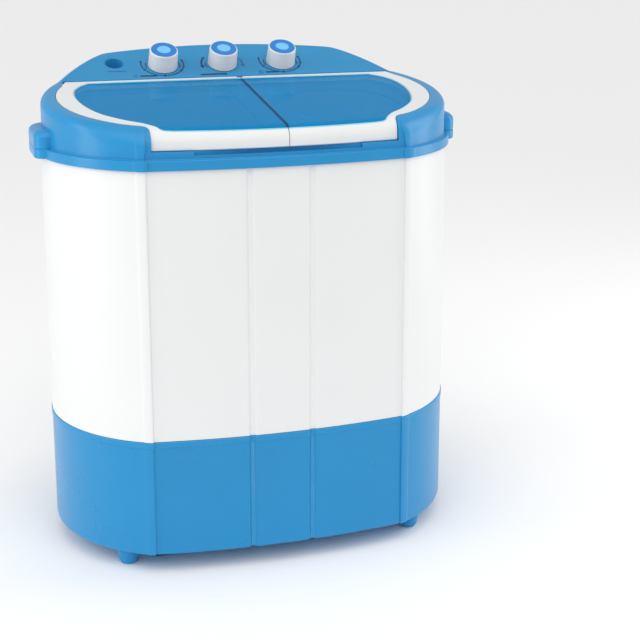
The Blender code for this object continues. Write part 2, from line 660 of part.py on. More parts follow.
def make_wash_tub():
    top = lid_plane(DECK_UNDER + GAP)
    floor_inset, wall = 0.013, 0.0022
    rings = [at(wash_opening(floor_inset + 0.004 - wall), TUB_FLOOR - 0.003),
             at(wash_opening(floor_inset - wall), TUB_FLOOR + 0.006),
             at(wash_opening(-wall), lid_plane(DECK_UNDER + 0.020)), at(wash_opening(-wall - 0.001), top),
             at(wash_opening(0.0), top), at(wash_opening(0.0), lid_plane(DECK_UNDER + 0.020)),
             at(wash_opening(floor_inset), TUB_FLOOR + 0.008),
             at(wash_opening(floor_inset + 0.006), TUB_FLOOR)]
    tub = loft("wash_tub", rings, "tub_white")
    cut(tub, rod("tub_shaft_bore", (WASH_X, WASH_Y, 0.19), (WASH_X, WASH_Y, 0.21), 0.0075, segments=16))
    cut(tub, rod("tub_drain_bore", (-0.040, 0.012, 0.19), (-0.040, 0.012, 0.21), 0.0065, segments=16))


def make_lint_filter():
    block("lint_filter", (-0.125, 0.034, 0.420), (-0.080, 0.0465, 0.560), "tub_white", 0.003)


def make_pulsator():
    pivot = empty("pulsator_axis", (WASH_X, WASH_Y, 0))
    dish = [(0, 0.2245), (0.0065, 0.2245), (0.0065, 0.2205), (0.0036, 0.2205), (0.0036, 0.2065)]
    outer = [(0.057, 0.2065), (0.060, 0.2085), (0.0595, 0.2120), (0.030, 0.2160), (0.014, 0.2245)]
    pulsator = turned("pulsator", dish[1:] + outer, "panel_blue", 32, parent=pivot)
    for k in range(4):
        fin = block(f"pulsator_fin_{k}", (0.012, -0.0035, 0.2085), (0.054, 0.0035, 0.2225), bevel=0.002)
        fin.parent = pivot
        fin.rotation_euler = (0, 0, math.pi / 2 * k + 0.3)
        cut(pulsator, fin, "UNION")
    turned("pulsator_screw", [(0, 0.2070), (0.0030, 0.2070), (0.0030, 0.2208), (0.0058, 0.2208),
                              (0.0058, 0.2235), (0.0045, 0.2245), (0, 0.2245)], "steel", 12, parent=pivot)
    turned("pulsator_shaft", [(0, 0.1280), (0.0055, 0.1280), (0.0055, 0.2060), (0, 0.2060)], "steel", 16,
           parent=pivot)
    turned("wash_pulley", [(0.0060, 0.1300), (0.055, 0.1300), (0.052, 0.1330), (0.052, 0.1430),
                           (0.055, 0.1460), (0.0060, 0.1460)], "grey_plastic", 24, parent=pivot)
    turned("wash_bearing_housing", [(0.0068, 0.1500), (0.014, 0.1500), (0.016, 0.1880), (0.030, 0.1900),
                                    (0.030, 0.2000), (0.0068, 0.2000)], "grey_plastic", 16,
           centre=(WASH_X, WASH_Y, 0))


def belt_outline(wash_r, motor_r, arc_steps=9):
    """A belt round the two pulleys: two arcs joined by straight runs."""
    start = Vector((WASH_X, WASH_Y))
    end = Vector((MOTOR_X, MOTOR_Y))
    line = end - start
    heading = math.atan2(line.y, line.x)
    spread = math.acos((wash_r - motor_r) / line.length)
    outline = []
    for k in range(arc_steps + 1):
        t = heading - spread + 2 * spread * k / arc_steps
        outline.append((end.x + motor_r * math.cos(t), end.y + motor_r * math.sin(t)))
    for k in range(2 * arc_steps + 1):
        t = heading + spread + (2 * math.pi - 2 * spread) * k / (2 * arc_steps)
        outline.append((start.x + wash_r * math.cos(t), start.y + wash_r * math.sin(t)))
    return outline


def make_wash_drive():
    low, high = 0.1345, 0.1415
    outer, inner = belt_outline(0.0560, 0.0190), belt_outline(0.0530, 0.0160)
    loft("drive_belt", [at(outer, low), at(outer, high), at(inner, high), at(inner, low)], "black_rubber",
         closed=True)
    pivot = empty("motor_axis", (MOTOR_X, MOTOR_Y, 0))
    turned("motor_pulley", [(0, 0.1120), (0.0050, 0.1120), (0.0050, 0.1210), (0.0175, 0.1300),
                            (0.0150, 0.1330), (0.0150, 0.1430), (0.0175, 0.1460), (0, 0.1460)], "steel", 24,
           parent=pivot)
    floor = FOOT_HEIGHT + FLOOR_THICK + GAP
    turned("wash_motor", [(0, floor), (0.030, floor), (0.030, 0.036), (0.045, 0.042), (0.045, 0.110),
                          (0.036, 0.1180), (0.0062, 0.1180), (0.0062, 0.1100), (0, 0.1100)],
           "motor_metal", 24, centre=(MOTOR_X, MOTOR_Y, 0))


# Spin side ----------------------------------------------------------------------------------------
def spin_opening(grow, count=32):
    """The opening above the spin basket: between an ellipse and a rectangle."""
    half_x, half_y = SPIN_OPENING[0] + grow, SPIN_OPENING[1] + grow
    power = 2 / 2.3
    outline = []
    for k in range(count):
        c, s = math.cos(2 * math.pi * k / count), math.sin(2 * math.pi * k / count)
        outline.append((SPIN_X + half_x * math.copysign(abs(c) ** power, c),
                        SPIN_Y + half_y * math.copysign(abs(s) ** power, s)))
    return outline


def make_spin_tub():
    top = lid_plane(DECK_UNDER + GAP)
    rings = [at(circle(SPIN_X, SPIN_Y, 0.0215), SPIN_TUB_FLOOR - 0.003),
             at(circle(SPIN_X, SPIN_Y, 0.0795), SPIN_TUB_FLOOR - 0.003),
             at(spin_opening(0.0035), top), at(spin_opening(0.0015), top),
             at(circle(SPIN_X, SPIN_Y, 0.0775), SPIN_TUB_FLOOR),
             at(circle(SPIN_X, SPIN_Y, 0.0215), SPIN_TUB_FLOOR)]
    tub = loft("spin_outer_tub", rings, "tub_white", closed=True)
    x, y = SPIN_DRAIN
    cut(tub, rod("spin_drain_bore", (x, y, 0.22), (x, y, 0.25), 0.0065, segments=16))


def make_spin_basket():
    pivot = empty("spin_axis", (SPIN_X, SPIN_Y, 0))
    profile = [(0, 0.2620), (0.0120, 0.2620), (0.0160, 0.2560), (0.0635, 0.2520), (0.0685, 0.2580),
               (0.0705, 0.5440), (0.0690, 0.5480), (0.0655, 0.5480), (0.0655, 0.5455), (0.0680, 0.5440),
               (0.0665, 0.2600), (0.0620, 0.2550), (0.0180, 0.2590), (0.0140, 0.2650), (0, 0.2650)]
    basket = turned("spin_basket", profile, "tub_white", 32, parent=pivot)
    slots, per_ring, rows = bmesh.new(), 8, (0.310, 0.390, 0.470)
    for row, z in enumerate(rows):
        for k in range(per_ring):
            turn = Matrix.Rotation(2 * math.pi * (k + 0.5 * (row % 2)) / per_ring, 4, "Z")
            slot = bmesh.ops.create_cube(slots, size=1.0)["verts"]
            bmesh.ops.transform(slots, matrix=turn @ Matrix.Translation((0.068, 0, z))
                                @ Matrix.Diagonal((0.012, 0.004, 0.045, 1)), verts=slot)
    cutter = finish_mesh("basket_slots", slots, None, pivot)
    cut(basket, cutter)
    turned("spin_shaft", [(0, 0.1560), (0.0050, 0.1560), (0.0050, 0.2612), (0, 0.2612)], "steel", 16,
           parent=pivot)
    turned("brake_drum", [(0.0054, 0.1800), (0.0320, 0.1800), (0.0320, 0.2000), (0.0290, 0.2000),
                          (0.0290, 0.1840), (0.0120, 0.1840), (0.0120, 0.2020), (0.0054, 0.2020)],
           "steel", 24, parent=pivot)
    turned("spin_seal_bellows", [(0.0080, 0.2080), (0.0130, 0.2080), (0.0110, 0.2130), (0.0160, 0.2180),
                                 (0.0130, 0.2240), (0.0260, 0.2330), (0.0260, 0.2347), (0.0090, 0.2347)],
           "black_rubber", 16, centre=(SPIN_X, SPIN_Y, 0))


def make_spin_motor():
    body = turned("spin_motor", [(0, 0.0640), (0.040, 0.0640), (0.0500, 0.0700), (0.0500, 0.1540),
                                 (0.0400, 0.1620), (0.0062, 0.1620), (0.0062, 0.1540), (0, 0.1540)],
                  "motor_metal", 24, centre=(SPIN_X, SPIN_Y, 0))
    pivot_x, pivot_y = BRAKE_PIVOT
    arm = block("brake_arm", (SPIN_X + 0.010, SPIN_Y + 0.020, 0.150),
                (pivot_x + 0.006, pivot_y + 0.006, 0.1665))
    cut(body, arm, "UNION")
    cut(body, rod("brake_pivot_pin", (pivot_x, pivot_y, 0.160), (pivot_x, pivot_y, 0.1985), 0.0026), "UNION")


def make_brake_lever():
    """A bar beside the drum; it turns inwards until its shoe nearly meets the drum."""
    shoe_y = SPIN_Y + 0.0345
    far_end = (BRAKE_PIVOT[0] + 0.007, shoe_y + 0.009, 0.1940)
    lever = block("brake_lever", (SPIN_X - 0.030, shoe_y, 0.1860), far_end, "steel", 0.0015)
    ear = rod("brake_ear", (*BRAKE_PIVOT, 0.1860), (*BRAKE_PIVOT, 0.1940), 0.0075, segments=16)
    cut(lever, ear, "UNION")
    cut(lever, rod("brake_lever_bore", (*BRAKE_PIVOT, 0.18), (*BRAKE_PIVOT, 0.20), 0.0030))
    move_origin(lever, (*BRAKE_PIVOT, 0.190))


def make_springs():
    floor = FOOT_HEIGHT + FLOOR_THICK
    wire, coil_r, turns, per_turn = 0.0013, 0.0070, 4, 8
    low, high = floor + wire + GAP, 0.0640 - wire - GAP
    for k, name in enumerate(("spring_front", "spring_rear_left", "spring_rear_right")):
        angle = -math.pi / 2 - 2 * math.pi / 3 * k
        cx, cy = SPIN_X + 0.030 * math.cos(angle), SPIN_Y + 0.030 * math.sin(angle)
        route = []
        for i in range(turns * per_turn + 1):
            t = 2 * math.pi * i / per_turn
            rise = low + (high - low) * i / (turns * per_turn)
            route.append((cx + coil_r * math.cos(t), cy + coil_r * math.sin(t), rise))
        spring = hose(name, route, wire, "steel", steps=1)
        spring.data.bevel_resolution = 0


# Drain, wiring and small pieces -------------------------------------------------------------------
def outlet_place():
    x = -0.190
    t = math.acos((-x - END_CENTRE_X) / END_HALF_X)
    return Vector((x, END_HALF_Y * math.sin(t), 0.060))


def gland_place():
    place = outlet_place()
    return Vector((-place.x, place.y, 0.085))


def outlet_bore(name, radius):
    place = outlet_place()
    return rod(name, place - Vector((0, 0.03, 0)), place + Vector((0, 0.03, 0)), radius, segments=20)


def gland_bore(name, radius):
    place = gland_place()
    return rod(name, place - Vector((0, 0.03, 0)), place + Vector((0, 0.03, 0)), radius, segments=20)


def facing_back(piece, place):
    piece.matrix_world = Matrix.Translation(place) @ Matrix.Rotation(-math.pi / 2, 4, "X")


def make_drain():
    turned("drain_valve_body", [(0, 0.1300), (0.0170, 0.1300), (0.0170, 0.2080), (0.0140, 0.2080),
                                (0.0140, 0.1340), (0, 0.1340)], "grey_plastic", 24,
           centre=(VALVE_X, VALVE_Y, 0))
    strap_top = lid_plane(0.040)(VALVE_Y)
    plunger = turned("drain_plunger", [(0, 0.1345), (0.0110, 0.1345), (0.0110, 0.1400), (0.0134, 0.1420),
                                       (0.0134, 0.1480), (0.0040, 0.1520), (0.0020, 0.2000),
                                       (0.0020, strap_top), (0, strap_top)], "grey_plastic", 16)
    plunger.location = (VALVE_X, VALVE_Y, 0)
    hose("tub_drain_pipe", [(-0.040, 0.012, 0.1998), (-0.040, 0.012, 0.180), (-0.036, 0.030, 0.158),
                            (-0.050, 0.076, 0.153), (-0.040, 0.103, 0.150),
                            (VALVE_X - 0.025, VALVE_Y, 0.150), (VALVE_X - 0.0184, VALVE_Y, 0.150)],
         0.006, "black_rubber", 3)
    hose("spin_drain_pipe", [(*SPIN_DRAIN, 0.2346), (*SPIN_DRAIN, 0.215), (0.083, 0.040, 0.182),
                             (0.055, 0.092, 0.156), (VALVE_X + 0.030, VALVE_Y, 0.150),
                             (VALVE_X + 0.0184, VALVE_Y, 0.150)], 0.006, "black_rubber", 3)
    outlet = outlet_place()
    hose("outlet_pipe", [(VALVE_X, VALVE_Y, 0.1292), (VALVE_X, VALVE_Y, 0.122), (VALVE_X, VALVE_Y, 0.112),
                         (-0.020, 0.110, 0.088), (-0.080, 0.104, 0.066), (-0.150, 0.092, 0.0605),
                         (outlet.x + 0.006, outlet.y - 0.050, 0.060), (outlet.x, outlet.y - 0.032, 0.060),
                         (outlet.x, outlet.y - 0.0210, 0.060)],
         0.008, "black_rubber", 3)
    nozzle = turned("drain_outlet", [(0.0075, -0.020), (0.0098, -0.020), (0.0098, 0.0004), (0.0098, 0.014),
                                     (0.0090, 0.016), (0.0075, 0.016)], "grey_plastic", 16)
    facing_back(nozzle, outlet)
    gland = turned("power_cord_gland", [(0.0035, -0.010), (0.0060, -0.010), (0.0060, 0.0035),
                                        (0.0095, 0.0045), (0.0095, 0.0075), (0.0060, 0.014),
                                        (0.0035, 0.014)], "black_rubber", 16)
    facing_back(gland, gland_place())


def make_small_pieces():
    floor = FOOT_HEIGHT + FLOOR_THICK + GAP
    turned("capacitor", [(0, floor), (0.0175, floor), (0.0175, 0.0780), (0.0150, 0.0800), (0.0060, 0.0800),
                         (0.0060, 0.0860), (0, 0.0860)], "grey_plastic", 20, centre=(0.070, 0.105, 0))
    switch_top = lid_plane(0.0175)(0.030)
    block("lid_switch", (0.2225, 0.018, switch_top - 0.034), (0.2365, 0.040, switch_top - 0.0035),
          "grey_plastic", 0.0015)
    hose("brake_cable", [(0.2295, 0.029, switch_top - 0.0345), (0.2300, 0.029, 0.480), (0.2310, 0.030, 0.400),
                         (0.2290, 0.031, 0.300), (0.205, 0.026, 0.215),
                         (SPIN_X + 0.020, SPIN_Y + 0.053, 0.1905),
                         (SPIN_X - 0.024, SPIN_Y + 0.0525, 0.1900)], 0.0018, "black_rubber", 3)


def build():
    clear_scene()
    make_base()
    make_feet()
    make_cabinet()
    make_rear_cover()
    make_top_cover()
    make_control_panel()
    make_inlet_funnel()
    make_lids()
    make_knobs()
    make_wash_tub()
    make_lint_filter()
    make_pulsator()
    make_wash_drive()
    make_spin_tub()
    make_spin_basket()
    make_spin_motor()
    make_brake_lever()
    make_springs()
    make_drain()
    make_small_pieces()


build()
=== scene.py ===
# %% [markdown]
# # The look of a compact twin tub washing machine
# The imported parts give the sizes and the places. This lesson builds the fine outer shells, lids, knobs,
# tubs and small fittings around them, and gives every piece a procedural finish.

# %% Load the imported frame
import json
import math

import bmesh
import bpy
from mathutils import Matrix, Vector


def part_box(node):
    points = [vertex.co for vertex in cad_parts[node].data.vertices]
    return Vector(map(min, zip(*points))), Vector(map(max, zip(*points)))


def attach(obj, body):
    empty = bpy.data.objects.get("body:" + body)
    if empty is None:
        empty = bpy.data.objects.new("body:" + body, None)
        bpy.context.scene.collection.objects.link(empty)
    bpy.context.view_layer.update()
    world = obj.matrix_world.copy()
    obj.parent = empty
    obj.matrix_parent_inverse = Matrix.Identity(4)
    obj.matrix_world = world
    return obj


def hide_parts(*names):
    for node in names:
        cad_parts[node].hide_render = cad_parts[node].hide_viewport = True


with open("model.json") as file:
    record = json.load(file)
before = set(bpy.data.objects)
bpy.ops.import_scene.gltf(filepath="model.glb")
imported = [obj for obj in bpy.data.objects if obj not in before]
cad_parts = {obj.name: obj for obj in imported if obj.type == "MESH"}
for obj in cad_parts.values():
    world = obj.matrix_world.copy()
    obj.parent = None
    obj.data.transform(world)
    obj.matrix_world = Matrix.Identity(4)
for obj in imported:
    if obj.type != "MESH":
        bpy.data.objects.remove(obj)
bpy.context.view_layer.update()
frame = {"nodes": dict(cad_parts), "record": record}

# %% [markdown]
# ## Driving sizes
# On the real machine one plan shape runs from the foot to the lids, and every moulding follows it. The
# sizes could be typed again here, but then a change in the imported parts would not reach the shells. So
# the base gives the plan, a gently bowed front and back between two elliptic ends, and the other boxes
# give the heights of the joints between base, cabinet and cover.

# %% Read the driving sizes off the frame
base_low, base_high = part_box("base")
cabinet_low, cabinet_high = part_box("cabinet")
cover_low, cover_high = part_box("top_cover")
wash_frame_low, wash_frame_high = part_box("wash_lid_frame")
GAP = 0.0003  # clearance between pieces that are fitted into each other
END_X, BOW_FRONT = base_high.x, base_high.y
END_HALF_X, END_HALF_Y = 0.1925, 0.188
END_CENTRE_X = END_X - END_HALF_X
CREASE_X = 0.172
FLUTE_X, FLUTE_HALF, FLUTE_DEPTH = 0.041, 0.005, 0.003
BASE_FOOT_Z, BASE_TOP = base_low.z, base_high.z
FLANGE_LOW, FLANGE_TOP = cover_low.z, cover_low.z + 0.013
COLLAR_INSET = 0.0035
LID_Z, LID_SLOPE, BEND_Y, PANEL_SLOPE = 0.6103, 0.1276, 0.0965, 0.50
LID_TILT, PANEL_TILT = math.atan(LID_SLOPE), math.atan(PANEL_SLOPE)
print(f"plan {2 * END_X:.3f} x {2 * BOW_FRONT:.3f} m, cover from {FLANGE_LOW:.4f} to {cover_high.z:.4f} m")

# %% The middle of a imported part
def middle_of(part):
    low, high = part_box(part)
    return (low + high) / 2


print("basket axis near", tuple(round(v, 4) for v in middle_of("spin_basket").xy))

# %% [markdown]
# ## Mesh helpers
# Most pieces of this machine are injection mouldings: even walls with rounded edges. They could be pulled
# out of a cube by hand, or smoothed by subdivision, but then no edge has a size that can be checked. Here
# a moulded shell is a skin over rings of points, and a round piece is a profile turned about an axis.

# %% A finished mesh object, smooth between its sharp edges
SMOOTH_BELOW = math.radians(35)


def keep_mesh(name, bm):
    bmesh.ops.recalc_face_normals(bm, faces=bm.faces)
    mesh = bpy.data.meshes.new(name)
    bm.to_mesh(mesh)
    bm.free()
    mesh.shade_smooth()
    mesh.set_sharp_from_angle(angle=SMOOTH_BELOW)
    made = bpy.data.objects.new(name, mesh)
    bpy.context.scene.collection.objects.link(made)
    return made


# %% A skin over rings of points
def skin(name, rings, closed=False, middle=None):
    """Skin over rings; middle is the mirrored ring's front middle point when the last cap has rungs."""
    bm = bmesh.new()
    loops = [[bm.verts.new(point) for point in ring] for ring in rings]
    pairs = list(zip(loops, loops[1:])) + ([(loops[-1], loops[0])] if closed else [])
    for low, high in pairs:
        for i in range(len(low)):
            j = (i + 1) % len(low)
            bm.faces.new((low[i], low[j], high[j], high[i]))
    if not closed:
        bm.faces.new(reversed(loops[0]))
    if not closed and middle is None:
        bm.faces.new(loops[-1])
    if middle is not None:
        last, count = loops[-1], len(loops[-1])
        for k in range(count // 2):
            rung = [last[(middle + k) % count], last[(middle + k + 1) % count],
                    last[(middle - k - 1) % count], last[(middle - k) % count]]
            bm.faces.new(list(dict.fromkeys(rung)))
    return keep_mesh(name, bm)


# %% Straight prisms over an outline
def at(outline, level):
    return [(x, y, level(y) if callable(level) else level) for x, y in outline]


def prism(name, outline, low, high):
    return skin(name, [at(outline, low), at(outline, high)])


# %% Round pieces
def turned(name, profile, segments=64, centre=(0, 0, 0)):
    """Turn a profile of (radius, z) about Z; one that leaves the axis at both ends is closed on itself."""
    bm = bmesh.new()
    cx, cy, cz = centre
    loops = []
    for radius, z in profile:
        turns = [2 * math.pi * k / segments for k in range(segments)] if radius else [0]
        loops.append([bm.verts.new((cx + radius * math.cos(t), cy + radius * math.sin(t), cz + z))
                      for t in turns])
    pairs = list(zip(loops, loops[1:]))
    if len(loops[0]) > 1 and len(loops[-1]) > 1:
        pairs.append((loops[-1], loops[0]))
    for low, high in pairs:
        for i in range(segments):
            j = (i + 1) % segments
            corners = [low[i % len(low)], low[j % len(low)], high[j % len(high)], high[i % len(high)]]
            bm.faces.new(list(dict.fromkeys(corners)))
    return keep_mesh(name, bm)


# %% Blocks and rods
def block(name, low, high, bevel=0.0, segments=3):
    bm = bmesh.new()
    bmesh.ops.create_cube(bm, size=1.0)
    bmesh.ops.scale(bm, vec=Vector(high) - Vector(low), verts=bm.verts)
    bmesh.ops.translate(bm, vec=(Vector(high) + Vector(low)) / 2, verts=bm.verts)
    if bevel:
        bmesh.ops.bevel(bm, geom=bm.edges[:], offset=bevel, segments=segments, profile=0.5, affect="EDGES")
    return keep_mesh(name, bm)


def rod(name, start, end, radius, segments=32):
    start, end = Vector(start), Vector(end)
    length = (end - start).length
    made = turned(name, [(0, 0), (radius, 0), (radius, length), (0, length)], segments)
    made.matrix_world = Matrix.Translation(start) @ (end - start).to_track_quat("Z", "Y").to_matrix().to_4x4()
    return made


# %% [markdown]
# ## Cutting, joining and softening
# A moulding has openings, ribs and small radii. Modifiers could stay live on each piece, but then the
# cutters would have to stay in the scene too, so each Boolean is applied at once and its cutters are
# removed. Ribs that only have to reach into a wall are joined without a Boolean. The small radii come
# last, as a bevel.

# %% Apply, cut and join
def bake_shape(piece):
    """Turn the modifiers of a piece into its own mesh."""
    bpy.context.view_layer.update()
    graph = bpy.context.evaluated_depsgraph_get()
    mesh = bpy.data.meshes.new_from_object(piece.evaluated_get(graph))
    piece.modifiers.clear()
    piece.data = mesh


def carve(piece, *cutters, operation="DIFFERENCE"):
    for cutter in cutters:
        step = piece.modifiers.new("cut", "BOOLEAN")
        step.operation, step.object, step.solver = operation, cutter, "EXACT"
    bake_shape(piece)
    for cutter in cutters:
        bpy.data.objects.remove(cutter)


def join(piece, *others):
    """One mesh from several closed ones, without a Boolean: for ribs, louvres and rows of cutters."""
    bm = bmesh.new()
    for source in (piece, *others):
        copy = source.data.copy()
        copy.transform(source.matrix_world)
        bm.from_mesh(copy)
    piece.matrix_world = Matrix.Identity(4)
    bm.to_mesh(piece.data)
    bm.free()
    for other in others:
        bpy.data.objects.remove(other)


# %% Small radii
SHARP_ABOVE = math.radians(40)


def soften(piece, width, segments=2):
    """Round the sharp edges of a moulded piece; weighted normals keep its flat faces flat."""
    piece.data.set_sharp_from_angle(angle=SHARP_ABOVE)
    bevel = piece.modifiers.new("edges", "BEVEL")
    bevel.width, bevel.segments = width, segments
    bevel.limit_method, bevel.angle_limit = "ANGLE", SHARP_ABOVE
    bevel.use_clamp_overlap = True
    piece.modifiers.new("normals", "WEIGHTED_NORMAL").keep_sharp = True


# %% [markdown]
# ## The plan of the machine
# Seen from above, the front panel stands a little behind the round ends, which turn into it with a small
# bead, and two flutes run down the front. A curve object could be bent to this, but base, cabinet and
# cover need the same outline at many insets. So one quarter is computed as plain points, and mirrored.

# %% The bowed front and back
def bow(x):
    crease_y = END_HALF_Y * math.sqrt(1 - ((CREASE_X - END_CENTRE_X) / END_HALF_X) ** 2)
    return BOW_FRONT - (BOW_FRONT - crease_y) * (x / CREASE_X) ** 2


print(f"the front stands {bow(0):.4f} m out in the middle and {bow(CREASE_X):.4f} m at its ends")

# %% One quarter of the plan
STEP_BACK = 0.0018
BEAD = [(0.1690, STEP_BACK), (0.1693, 0.0008), (0.1700, -0.0003), (0.1710, -0.0006)]
STRIP = [(0.0, 0.0007), (0.012, 0.0009), (0.030, 0.0010), (0.050, 0.0009), (0.058, 0.0007), (0.064, 0.0001)]


def quarter(detail, flutes):
    """From the middle of the front to the tip of the right end: detail 0 is plain, 1 has bead and flutes."""
    xs = [0.006 * k for k in range(28) if abs(0.006 * k - FLUTE_X) > FLUTE_HALF + 0.0015]
    xs += [FLUTE_X + FLUTE_HALF * k / 4 for k in range(-5, 6)]
    points = []
    for x in sorted(xs):
        depth = STEP_BACK
        if flutes and abs(x - FLUTE_X) < FLUTE_HALF:
            depth += FLUTE_DEPTH * (0.5 + 0.5 * math.cos(math.pi * (x - FLUTE_X) / FLUTE_HALF)) ** 0.7
        points.append((x, -bow(x) + depth * detail))
    points += [(x, -bow(x) + depth * detail) for x, depth in BEAD]
    edge = math.acos((CREASE_X - END_CENTRE_X) / END_HALF_X)
    turns = [(-edge + part, proud * detail) for part, proud in STRIP]
    turns += [(-edge + 0.075 + (edge - 0.075) * k / 21, 0.0) for k in range(22)]
    return points + [(END_CENTRE_X + (END_HALF_X + proud) * math.cos(t), (END_HALF_Y + proud) * math.sin(t))
                     for t, proud in turns]


# %% The whole outline, with its rear corners eased
def plan(detail=1.0, flutes=True):
    """The whole outline; its back has no beads and turns gently from the ends into the bow."""
    front, back = quarter(detail, flutes), quarter(0.0, False)
    outline = (front + [(x, -y) for x, y in reversed(back[:-1])] + [(-x, -y) for x, y in back[1:]]
               + [(-x, y) for x, y in reversed(front[1:-1])])
    return ease(outline, 0.10, 24)


def ease(outline, y_from, rounds):
    """Round the corners of the part of an outline behind y_from."""
    for _ in range(rounds):
        outline = [p if p[1] < y_from or i == len(outline) - 1 else
                   tuple((Vector(outline[i - 1]) + Vector(p) * 2 + Vector(outline[i + 1])) / 4)
                   for i, p in enumerate(outline)]
    return outline


# %% Move an outline inwards
def inset(outline, distance, smoothing=0):
    """Move an outline inwards by one distance or by one per point; smoothing evens out the directions."""
    distances = distance if isinstance(distance, list) else [distance] * len(outline)
    count, normals = len(outline), []
    for i, point in enumerate(outline):
        before, after = Vector(outline[i - 1]), Vector(outline[(i + 1) % count])
        a, b = (Vector(point) - before).normalized(), (after - Vector(point)).normalized()
        normal = (Vector((-a.y, a.x)) + Vector((-b.y, b.x))).normalized()
        stretch = min(1 / max(normal.dot(Vector((-a.y, a.x))), 0.5), 1.6)
        normals.append(normal * stretch)
    for _ in range(smoothing):
        normals = [((normals[i - 1] + normals[i] * 2 + normals[(i + 1) % count]) / 4).normalized()
                   for i in range(count)]
    return [tuple(Vector(p) + n * d) for p, n, d in zip(outline, normals, distances)]


print(len(plan()), "points in the plan")

# %% [markdown]
# ## Outlines of the lids, the windows and the panel
# The lids meet in the middle, follow the bowed front, and turn into the round ends with a short S-shaped
# corner. Curve objects could draw that, but the pocket, the windows and their painted bright edges need
# the same edge again. So a few corner points and a Catmull-Rom curve give lists of points that all of them
# share.

# %% Curves through points
def smooth_path(points, steps=6):
    """Catmull-Rom curve through open points."""
    pts = [Vector(p) for p in points]
    pts = [pts[0] * 2 - pts[1]] + pts + [pts[-1] * 2 - pts[-2]]
    path = []
    for a, b, c, d in zip(pts, pts[1:], pts[2:], pts[3:]):
        for t in (k / steps for k in range(steps)):
            path.append(0.5 * (2 * b + (c - a) * t + (2 * a - 5 * b + 4 * c - d) * t ** 2
                               + (3 * b - a - 3 * c + d) * t ** 3))
    return [tuple(p) for p in path + [pts[-2]]]


def mirrored(right_side):
    return right_side + [(-x, y) for x, y in reversed(right_side)]


def end_arc(distance, y_from, y_to):
    """Part of the right end, a distance inside it, between two depths."""
    half_x, half_y = END_HALF_X - distance, END_HALF_Y - distance
    start, end = math.asin(y_from / half_y), math.asin(y_to / half_y)
    turns = [start + (end - start) * k / 27 for k in range(28)]
    return [(END_CENTRE_X + half_x * math.cos(t), half_y * math.sin(t)) for t in turns]


# %% Sizes of the lids and corner points of their edges
LIP_X, LIP_INSET, LIP_R = 0.161, 0.010, 0.020
LIP_Z = wash_frame_low.z
LID_THICK = 0.009
LID_SPLIT_X = wash_frame_high.x + 0.0005
HINGE = Vector((0, 0.0900, LID_Z + LID_SLOPE * 0.0900 - LID_THICK / 2))
LID_REAR_Y, LID_REAR_X = HINGE.y + LID_THICK / 2, 0.2315
LID_CORNER = [(LIP_X, -0.1585), (0.1622, -0.1500), (0.1680, -0.1420), (0.1790, -0.1365)]
WINDOW_SIDE = [(0.1433, -0.1571), (0.1484, -0.1543), (0.1524, -0.1486), (0.1578, -0.1402), (0.1663, -0.1293),
               (0.1751, -0.1215), (0.1860, -0.1113), (0.1985, -0.0965), (0.2110, -0.0780), (0.2215, -0.0520),
               (0.2295, -0.0170), (0.2315, 0.0150), (0.2280, 0.0440), (0.2180, 0.0665), (0.2040, 0.0830)]
OPENING_SIDE = [(0.1480, -0.1480), (0.1545, -0.1430), (0.1650, -0.1310), (0.1830, -0.1145), (0.2015, -0.0965),
                (0.2140, -0.0780), (0.2225, -0.0520), (0.2295, -0.0170), (0.2315, 0.0150), (0.2280, 0.0440),
                (0.2180, 0.0665), (0.2040, 0.0830)]
WINDOW_FRONT = 0.0155
print("hinge line at", tuple(round(v, 4) for v in HINGE))

# %% Whole outlines of the lids, the windows and the panel
def lid_outline(rear_y):
    front = [(LIP_X * k / 12, -bow(LIP_X * k / 12) + 0.002) for k in range(1, 13)]
    return mirrored(front + smooth_path(LID_CORNER) + end_arc(0.0244, -0.129, 0.070) + [(LID_REAR_X, rear_y)])


def window_outline():
    front = [(0.012 * k, WINDOW_FRONT - bow(0.012 * k)) for k in range(1, 12)]
    return mirrored(front + smooth_path(WINDOW_SIDE, 5))


def panel_outline():
    """The edge that the back of the cover has, moved inwards, behind the bend."""
    edge_points = inset(plan(0.0), 0.012, 6)
    behind = [p for p in edge_points if p[1] > BEND_Y + 0.001]
    tip = max(x for x, _ in behind) + 0.0012
    return [(tip, BEND_Y - 0.0003)] + behind + [(-tip, BEND_Y - 0.0003)]


# %% Keep one side of an outline
def clip(outline, x_limit, keep):
    """Keep the part of an outline on one side of x_limit: keep is -1 for the left, 1 for the right."""
    kept = []
    for i, point in enumerate(outline):
        after = outline[(i + 1) % len(outline)]
        inside = keep * (point[0] - x_limit) >= 0
        if inside:
            kept.append(point)
        if inside != (keep * (after[0] - x_limit) >= 0):
            part = (x_limit - point[0]) / (after[0] - point[0])
            kept.append((x_limit, point[1] + part * (after[1] - point[1])))
    return kept


# %% Slopes of the lids and of the panel
def lid_plane(drop=0.0):
    return lambda y: LID_Z + LID_SLOPE * y - drop


def panel_plane(drop=0.0):
    return lambda y: LID_Z + LID_SLOPE * BEND_Y + PANEL_SLOPE * (y - BEND_Y) - drop


def top_height(y):
    return max(lid_plane()(y), panel_plane()(y))


def on_panel(x, y):
    """A tilted frame on the control panel whose Z stands square on the slope."""
    return Matrix.Translation((x, y, panel_plane()(y))) @ Matrix.Rotation(PANEL_TILT, 4, "X")


# %% [markdown]
# ## Shared effects
# Moulded plastic is never perfectly even: it has a fine spark-eroded grain, faint flow variation, edges
# that are rubbed lighter, and a little dust on what faces up. These could be painted as images, but an
# image has one size and needs unwrapping. Each effect is one node group, built once, and each finish
# gives it its own numbers.

